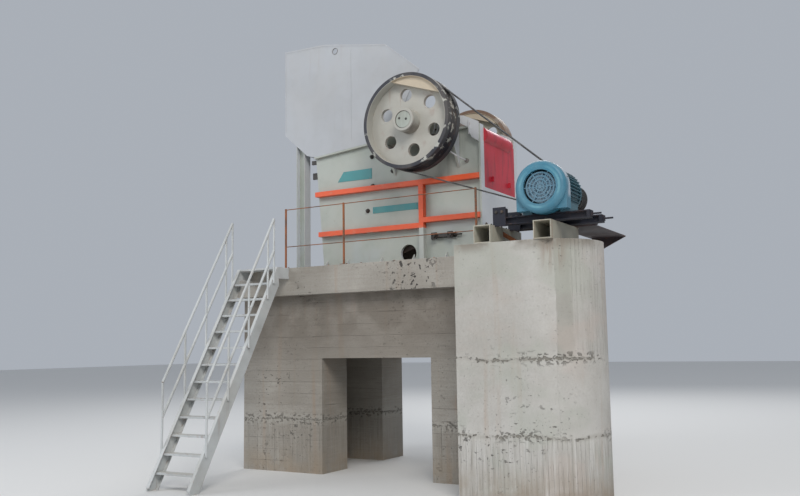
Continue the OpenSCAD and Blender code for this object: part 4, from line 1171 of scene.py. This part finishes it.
    def grease_line(self) -> None:
        """Add the grease pipes from the bearing housings to their nipples on the rear flange."""
        pipes, nipples = Shape(), Shape()
        union = ((-0.03, 0.02), (0.03, 0.02), (0.034, 0.014))
        nipple = ((0, 0.034), (0.02, 0.034), (0.024, 0.018), (0.034, 0.015))
        for side in SIDES:
            route = [at(x, side * y, z) for x, y, z in self.grease_route]
            pipes.pipe(route, self.pipe_r, 10)
            nipples.turned(route[0], ALONG - UP, union, 6)
            end_x, _, end_z = self.grease_route[-1]
            nipples.turned(at(end_x, side * self.nipple_y, end_z), out_of(side), nipple, 16)
        pipes.piece("grease_pipes", PALE)
        nipples.piece("grease_nipples", WORN, 0.001)

    def housing_bolts(self) -> None:
        """Add the bolts of the cover rings round the bearing housings."""
        count = self.housing_bolt_count
        BoltGroup("housing_bolts", 0.016, DARK, 0.0006).fit(
            (at(self.housing_ring * math.cos(a), side * self.housing_y,
                SHAFT_AXIS.z + self.housing_ring * math.sin(a)), out_of(side), a)
            for side in SIDES for a in angles(count, math.pi / count))

    def end_brackets(self) -> None:
        """Add the cover's hanging plates outside the rear flanges."""
        shape = Shape()
        inner, outer, tip = self.bracket_out
        for side in SIDES:
            shape.slab([at(x, side * inner, z) for x, z in self.bracket], (0, side * (outer - inner), 0))
            shape.side_box(side, self.bracket_bar[0], (outer, tip), self.bracket_bar[1])
        shape.piece("end_brackets", PALE, 0.0015)

    def front_lugs(self) -> None:
        """Add the lugs at the front edges that the hopper hooks on."""
        shape = Shape()
        for side in SIDES:
            for low, high in self.lug_z:
                lean = self.front_slope * (low - PLATFORM)
                shape.side_box(side, (self.lug_x[0] - lean, self.lug_x[1] - lean), self.lug_out, (low, high))
        shape.piece("front_lugs", DARK, 0.003)


@dataclass
class WheelDetail:
    """Hub rings, caps, plugs and rings of painted shade that turn with the wheels."""

    hubs: Outline = ((-1.0, 1.44), (1.0, 1.245))
    ring_r: Span = (0.136, 0.178)
    ring_t: float = 0.014
    ring_chamfer: float = 0.006
    cap_r: float = 0.128
    cap_z: Span = (-0.019, 0.006)
    # dark ring of painted shade round the cap: inner radius, outer radius and height
    shade_ring: tuple[float, float, float] = (0.129, 0.135, 0.002)
    plugs: Outline = ((-0.066, 0.026), (0.05, 0.002))
    plug_r: float = 0.02
    plug_t: float = 0.0014

    def build(self) -> None:
        """Add the face rings of the hubs, the caps, a thin dark ring of painted shade round each cap, and
        two plugs on each.
        """
        caps, holes, rings = Shape(), Shape(), Shape()
        inner, outer = self.ring_r
        ring = ((0, inner), (0, outer), (self.ring_t - self.ring_chamfer, outer),
                (self.ring_t, outer - self.ring_chamfer), (self.ring_t, inner))
        low, high = self.cap_z
        cap = ((low, 0.0), (low, self.cap_r), (0.003, self.cap_r), (high, self.cap_r - 0.004), (high, 0.0))
        near, far, deep = self.shade_ring
        shade_ring = ((0.0, near), (0.0, far), (deep, far), (deep, near))
        for side, end in self.hubs:
            start = at(0, side * end, SHAFT_AXIS.z)
            rings.turned(start, out_of(side), ring, 72, closed=True)
            caps.turned(start, out_of(side), cap, 64)
            # painted shade: a thin dark ring round the cap, in the plugs' dark paint
            holes.turned(start, out_of(side), shade_ring, 64, closed=True)
            for x, z in self.plugs:
                middle = at(x, side * (end + high - 0.0005), SHAFT_AXIS.z + z)
                holes.turned(middle, out_of(side), ((0, self.plug_r), (self.plug_t, self.plug_r)))
        rings.piece("hub_rings", CREAM, body=SHAFT)
        caps.piece("hub_caps", BODY, body=SHAFT)
        holes.piece("hub_plugs_and_shade_ring", PLUG_AND_SHADE, body=SHAFT)


@dataclass
class HopperDetail:
    """Rim bars, seams, lifting rings and leg anchors of the hopper."""

    wall_y: float = 0.7
    near_rim: Outline = ((-2.822, 7.19), (-1.978, 7.172), (-0.754, 6.945), (-0.116, 6.416))
    far_rim: Outline = ((-2.822, 7.19), (-1.978, 7.172), (-1.198, 6.99), (-0.862, 6.7))
    bar_w: float = 0.03
    bar_t: float = 0.004
    seam_t: float = 0.003
    seams: tuple[tuple[Span, Span], ...] = (((-1.436, -1.428), (5.4, 6.97)), ((-2.818, -2.8), (5.73, 7.15)))
    lift: Span = (-1.752, 7.01)
    lift_r: Span = (0.053, 0.004)
    leg: Place = (-2.5, 0.601, 3.275)
    leg_anchor: Span = (0.115, 0.11)

    def build(self) -> None:
        """Add every piece."""
        self.rim_bars()
        self.seam_bars()
        self.lifting_rings()
        self.foot_bolts()

    def rim_bars(self) -> None:
        """Add the flat bars welded along the walls' upper edges, on the outside."""
        shape = Shape()
        for side, rim in zip(SIDES, (self.near_rim, self.far_rim)):
            for (x0, z0), (x1, z1) in zip(rim, rim[1:]):
                corners = ((x0, z0), (x1, z1), (x1, z1 - self.bar_w), (x0, z0 - self.bar_w))
                shape.slab([at(x, side * self.wall_y, z) for x, z in corners], (0, side * self.bar_t, 0))
        shape.piece("hopper_rim_bars", HOPPER, 0.0015)

    def seam_bars(self) -> None:
        """Add the weld seam between the walls' two sheets and the upright bars at the feed end."""
        shape = Shape()
        for side in SIDES:
            for along, up in self.seams:
                shape.side_box(side, along, (self.wall_y, self.wall_y + self.seam_t), up)
        shape.piece("hopper_seams", HOPPER, 0.001)

    def lifting_rings(self) -> None:
        """Add the rings that reinforce the walls' lifting holes."""
        shape = Shape()
        for side in SIDES:
            middle = at(self.lift[0], side * (self.wall_y + self.seam_t), self.lift[1])
            shape.hoop(middle, out_of(side), *self.lift_r)
        shape.piece("lifting_rings", WORN)

    def foot_bolts(self) -> None:
        """Add the anchor bolts of the hopper's two legs."""
        x, y, z = self.leg
        dx, dy = self.leg_anchor
        BoltGroup("leg_anchors", 0.02, RUSTY, 0.0008, nut=True).fit(
            (at(x + right * dx, side * y + out * dy, z), UP, right * dx)
            for side in SIDES for right in SIDES for out in SIDES)


@dataclass
class MotorDetail:
    """What bolts the motor down, its terminal box, eye and fan, and the rails' fittings."""

    foot_x: Span = (2.246, 2.754)
    foot_drop: float = 0.285
    rail_y: Span = (-2.11, -1.61)
    rail_drop: float = 0.417
    eye_y: float = -1.93
    eye_rise: float = 0.3
    eye_hoop: Span = (0.027, 0.0085)
    box_x: float = -0.396
    box_y: Span = (-2.07, -1.85)
    box_z: Span = (0.01, 0.19)
    lid_t: float = 0.012
    lid_lap: float = 0.006
    lid_screw: float = 0.008
    lid_screw_inset: float = 0.018
    gland_inset: float = 0.07
    gland_x: float = 0.045
    screw_angles: tuple[int, ...] = (20, 70, 110, 160)
    screw_r: float = 0.3375
    screw_y: float = -2.22
    fan_y: float = -2.285
    fan_disc: tuple[float, float, float] = (0.07, 0.2, 0.006)
    blades: int = 9
    blade_r: Span = (0.075, 0.198)
    blade_size: Span = (0.008, 0.045)
    beam_x: Span = (1.675, 2.505)
    clamp_off: float = 0.08
    clamp_half: Place = (0.03, 0.02, 0.0)
    clamp_h: float = 0.022
    clamp_bolt: float = 0.02
    end_block: tuple[Place, Place] = ((1.79, -0.055, 0.102), (1.93, 0.055, 0.225))
    end_plate: tuple[Place, Place] = ((1.77, -0.082, -0.02), (1.95, -0.0605, 0.235))
    end_bolt: float = 0.022
    end_bolts: tuple[Place, Place] = ((1.82, -0.082, 0.17), (1.9, -0.082, 0.17))
    strut: tuple[Span, Span] = ((1.7, 3.5), (2.0, 3.31))
    strut_y: float = -1.92
    strut_half: float = 0.028
    strut_t: float = 0.012

    def build(self) -> None:
        """Add every piece."""
        self.foot_bolts()
        self.lifting_eye()
        self.terminal_box()
        self.cover_screws()
        self.fan()
        self.rusty_strut()
        self.rail_ends()

    def foot_bolts(self) -> None:
        """Add the bolts that clamp the motor's feet on the slide rails."""
        top = MOTOR_AXIS.z - self.foot_drop
        BoltGroup("motor_foot_bolts", 0.022, WORN, 0.0008, nut=True).fit(
            (at(x, y, top), UP, y) for x in self.foot_x for y in self.rail_y)

    def lifting_eye(self) -> None:
        """Add the eye bolt on top of the motor."""
        shape = Shape()
        top = Vector((MOTOR_AXIS.x, at(0, self.eye_y, 0).y, MOTOR_AXIS.z + self.eye_rise))
        shape.turned(top, UP, ((-0.03, 0.026), (0.008, 0.026), (0.014, 0.014), (0.03, 0.012)), 20)
        shape.hoop(top + UP * 0.056, ALONG, *self.eye_hoop, sides=36, small=10)
        shape.piece("motor_eye", TEAL)

    def terminal_box(self) -> None:
        """Add the lid, screws and glands of the terminal box."""
        lid, fittings = Shape(), Shape()
        side_x = MOTOR_AXIS.x + self.box_x
        low_y, high_y = (at(0, y, 0).y for y in self.box_y)
        low_z, high_z = (MOTOR_AXIS.z + z for z in self.box_z)
        lap, inset = self.lid_lap, self.lid_screw_inset
        lid.box((side_x - self.lid_t, low_y - lap, low_z - lap), (side_x, high_y + lap, high_z + lap))
        for y in (low_y + inset, high_y - inset):
            for z in (low_z + inset, high_z - inset):
                fittings.bolt(Vector((side_x - self.lid_t, y, z)), -ALONG, self.lid_screw, turn=z)
        gland = ((0, 0.022), (0.02, 0.022), (0.022, 0.017), (0.045, 0.015))
        for y in (low_y + self.gland_inset, high_y - self.gland_inset):
            fittings.turned(Vector((side_x + self.gland_x, y, low_z)), -UP, gland, 16)
        lid.piece("terminal_lid", TEAL, 0.003)
        fittings.piece("terminal_fittings", WORN, 0.0006)

    def cover_screws(self) -> None:
        """Add the screws round the fan cover's mouth."""
        spokes = [(a, Vector((math.cos(a), 0, math.sin(a)))) for a in map(math.radians, self.screw_angles)]
        middle = Vector((MOTOR_AXIS.x, at(0, self.screw_y, 0).y, MOTOR_AXIS.z))
        BoltGroup("cover_screws", 0.009, WORN, 0.0005).fit(
            (middle + out * self.screw_r, out, a) for a, out in spokes)

    def fan(self) -> None:
        """Add the fan that shows through the grille."""
        shape = Shape()
        start = Vector((MOTOR_AXIS.x, at(0, self.fan_y, 0).y, MOTOR_AXIS.z))
        inner, outer, thick = self.fan_disc
        shape.turned(start, out_of(-1), ((0, inner), (0, outer), (thick, outer), (thick, inner)), 56)
        blade_t, deep = self.blade_size
        for a in angles(self.blades):
            out = Vector((math.cos(a), 0, math.sin(a)))
            across = out.cross(out_of(1)) * (blade_t / 2)
            root, tip = (start + out * r - across for r in self.blade_r)
            face = out_of(-1) * deep
            shape.slab([root, tip, tip + face, root + face], across * 2)
        shape.piece("motor_fan", FAN, body=ROTOR)

    def rusty_strut(self) -> None:
        """Add the leaning flat bar under the rails."""
        shape = Shape()
        top, foot = (at(x, self.strut_y, z) for x, z in self.strut)
        half = (foot - top).normalized().cross(out_of(1)) * self.strut_half
        shape.slab([top + half, foot + half, foot - half, top - half], (0, self.strut_t, 0))
        shape.piece("rusty_strut", RUSTY, 0.0015)

    def rail_ends(self) -> None:
        """Add hook bolts, end plates and nuts of the slide rails on the box beams."""
        blocks, bolts = Shape(), Shape()
        z = MOTOR_AXIS.z - self.rail_drop
        half, lift = Vector(self.clamp_half), UP * self.clamp_h
        for y in self.rail_y:
            for x in self.beam_x:
                for offset in (-self.clamp_off, self.clamp_off):
                    seat = at(x, y + offset, z)
                    blocks.box(seat - half, seat + half + lift)
                    bolts.bolt(seat + lift, UP, self.clamp_bolt, nut=True, turn=offset * 9)
            for corners in (self.end_block, self.end_plate):
                blocks.box(*(at(x, y + dy, z + dz) for x, dy, dz in corners))
            for x, dy, dz in self.end_bolts:
                bolts.bolt(at(x, y + dy, z + dz), out_of(-1), self.end_bolt, turn=x)
        blocks.piece("rail_clamps", NAVY, 0.002)
        bolts.piece("rail_bolts", DARK, 0.0007)


@dataclass
class TensionDetail:
    """Nuts behind the tension rod's spring."""

    nut_x: float = 1.1155
    nut_step: float = 0.034
    rod_z: float = 3.485
    profile: Outline = ((0, 0.034), (0.002, 0.038), (0.029, 0.038), (0.031, 0.034))

    def build(self) -> None:
        """Add two nuts in a row."""
        shape = Shape()
        for k in range(2):
            shape.turned(at(self.nut_x + self.nut_step * k, 0, self.rod_z), ALONG, self.profile, 6, 0.3 * k)
        shape.piece("tension_nuts", WORN, 0.001)


@dataclass
class GuardDetail:
    """Base plates and anchors under the guard rail's posts."""

    posts: tuple[float, ...] = (-2.26, -1.125, 1.16)
    post_y: float = -1.404
    half_x: float = 0.05
    plate_y: Span = (-0.045, 0.05)
    plate_t: float = 0.01
    anchor: float = 0.011
    anchor_x: float = 0.034
    anchor_y: float = 0.03

    def build(self) -> None:
        """Add the plates and the anchors."""
        plates, bolts = Shape(), Shape()
        top = PLATFORM + self.plate_t
        for x in self.posts:
            near, far = (self.post_y + y for y in self.plate_y)
            plates.box(at(x - self.half_x, near, PLATFORM), at(x + self.half_x, far, top))
            for dx in (-self.anchor_x, self.anchor_x):
                bolts.bolt(at(x + dx, self.post_y + self.anchor_y, top), UP, self.anchor, nut=True)
        plates.piece("guard_bases", RUSTY, 0.0015)
        bolts.piece("guard_anchors", RUSTY, 0.0005)


@dataclass(frozen=True)
class Lamp:
    """One soft, round lamp that points at the plant's middle."""

    name: str
    place: Place
    power: float
    colour: Colour
    aim_z: float = 3.5
    size: float = 12.0

    def hang(self) -> None:
        """Add the lamp to the scene."""
        data = bpy.data.lights.new(self.name, "AREA")
        data.shape = "DISK"
        data.size = self.size
        data.energy = self.power
        data.color = self.colour
        made = bpy.data.objects.new(self.name, data)
        made.location = self.place
        toward = UP * self.aim_z - Vector(self.place)
        made.rotation_euler = toward.to_track_quat("-Z", "Y").to_euler()
        bpy.context.scene.collection.objects.link(made)


@dataclass
class Studio:
    """Pale floor, soft light and the camera where the photographer stood."""

    eye: Place = (6.355, -12.485, 1.97)
    heading: float = math.radians(30.26)
    tilt: float = math.radians(6.52)
    roll: float = math.radians(-0.85)
    lens: float = 38.7
    sensor: float = 36.0
    sight: float = 400.0
    floor_half: float = 80.0
    floor_colour: Colour = (0.72, 0.715, 0.7)
    floor_roughness: float = 0.9
    sky_colour: Colour = (0.80, 0.86, 0.95)
    sky_strength: float = 0.5
    lamps: tuple[Lamp, ...] = (Lamp("key_lamp", (13.0, -17.0, 19.0), 3700.0, (1.0, 0.97, 0.93)),
                               Lamp("fill_lamp", (-14.0, -15.0, 12.0), 1100.0, (0.93, 0.96, 1.0), 3.0),
                               Lamp("back_lamp", (-4.0, 17.0, 17.0), 1500.0, (1.0, 1.0, 1.0)))

    def build(self) -> None:
        """Set up camera, floor and light."""
        self.camera()
        self.floor()
        self.world()
        for lamp in self.lamps:
            lamp.hang()
        bpy.context.scene.view_settings.view_transform = "Standard"

    def camera(self) -> None:
        """Set the camera at the photograph's angle."""
        cos_t, sin_t = math.cos(self.tilt), math.sin(self.tilt)
        look = Vector((-math.sin(self.heading) * cos_t, math.cos(self.heading) * cos_t, sin_t))
        level = Vector((math.cos(self.heading), math.sin(self.heading), 0.0))
        upright = level.cross(look)
        right = level * math.cos(self.roll) + upright * math.sin(self.roll)
        up = upright * math.cos(self.roll) - level * math.sin(self.roll)
        data = bpy.data.cameras.new("photo_camera")
        data.lens = self.lens
        data.sensor_width = self.sensor
        data.sensor_fit = "HORIZONTAL"
        data.clip_end = self.sight
        camera = bpy.data.objects.new("photo_camera", data)
        turn = Matrix((right, up, -look)).transposed().to_4x4()
        camera.matrix_world = Matrix.Translation(at(*self.eye)) @ turn
        bpy.context.scene.collection.objects.link(camera)
        bpy.context.scene.camera = camera

    def floor(self) -> None:
        """Lay the pale floor."""
        half = self.floor_half
        mesh = bpy.data.meshes.new("studio_floor")
        corners = [(x * half, y * half, 0.0) for x, y in ((-1, -1), (1, -1), (1, 1), (-1, 1))]
        mesh.from_pydata(corners, [], [(0, 1, 2, 3)])
        ground = bpy.data.objects.new("studio_floor", mesh)
        bpy.context.scene.collection.objects.link(ground)
        s = Surface("studio_floor")
        s.colour = s.mix(self.floor_colour, self.floor_colour, 0.0)
        mesh.materials.append(s.finish(self.floor_roughness))

    def world(self) -> None:
        """Fill the surroundings with soft, pale sky light."""
        world = bpy.data.worlds.new("studio_sky")
        world.use_nodes = True
        bpy.context.scene.world = world
        back = world.node_tree.nodes["Background"]
        back.inputs["Color"].default_value = (*self.sky_colour, 1.0)
        back.inputs["Strength"].default_value = self.sky_strength


def dress_nodes() -> None:
    """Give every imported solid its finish."""
    for finish, names in NODE_FINISHES.items():
        for name in names:
            mesh = frame["nodes"][name].data
            mesh.materials.clear()
            mesh.materials.append(wear(finish))
            LOG.info("%s wears %s", name, finish.name)


def main() -> None:
    """Dress the plant, add its fitted pieces and set up the studio."""
    logging.basicConfig(level=logging.INFO, format="%(message)s")
    dress_nodes()
    for detail in (FrameDetail, WheelDetail, HopperDetail, MotorDetail, TensionDetail, GuardDetail):
        detail().build()
    Studio().build()


if __name__ == "__main__":
    main()
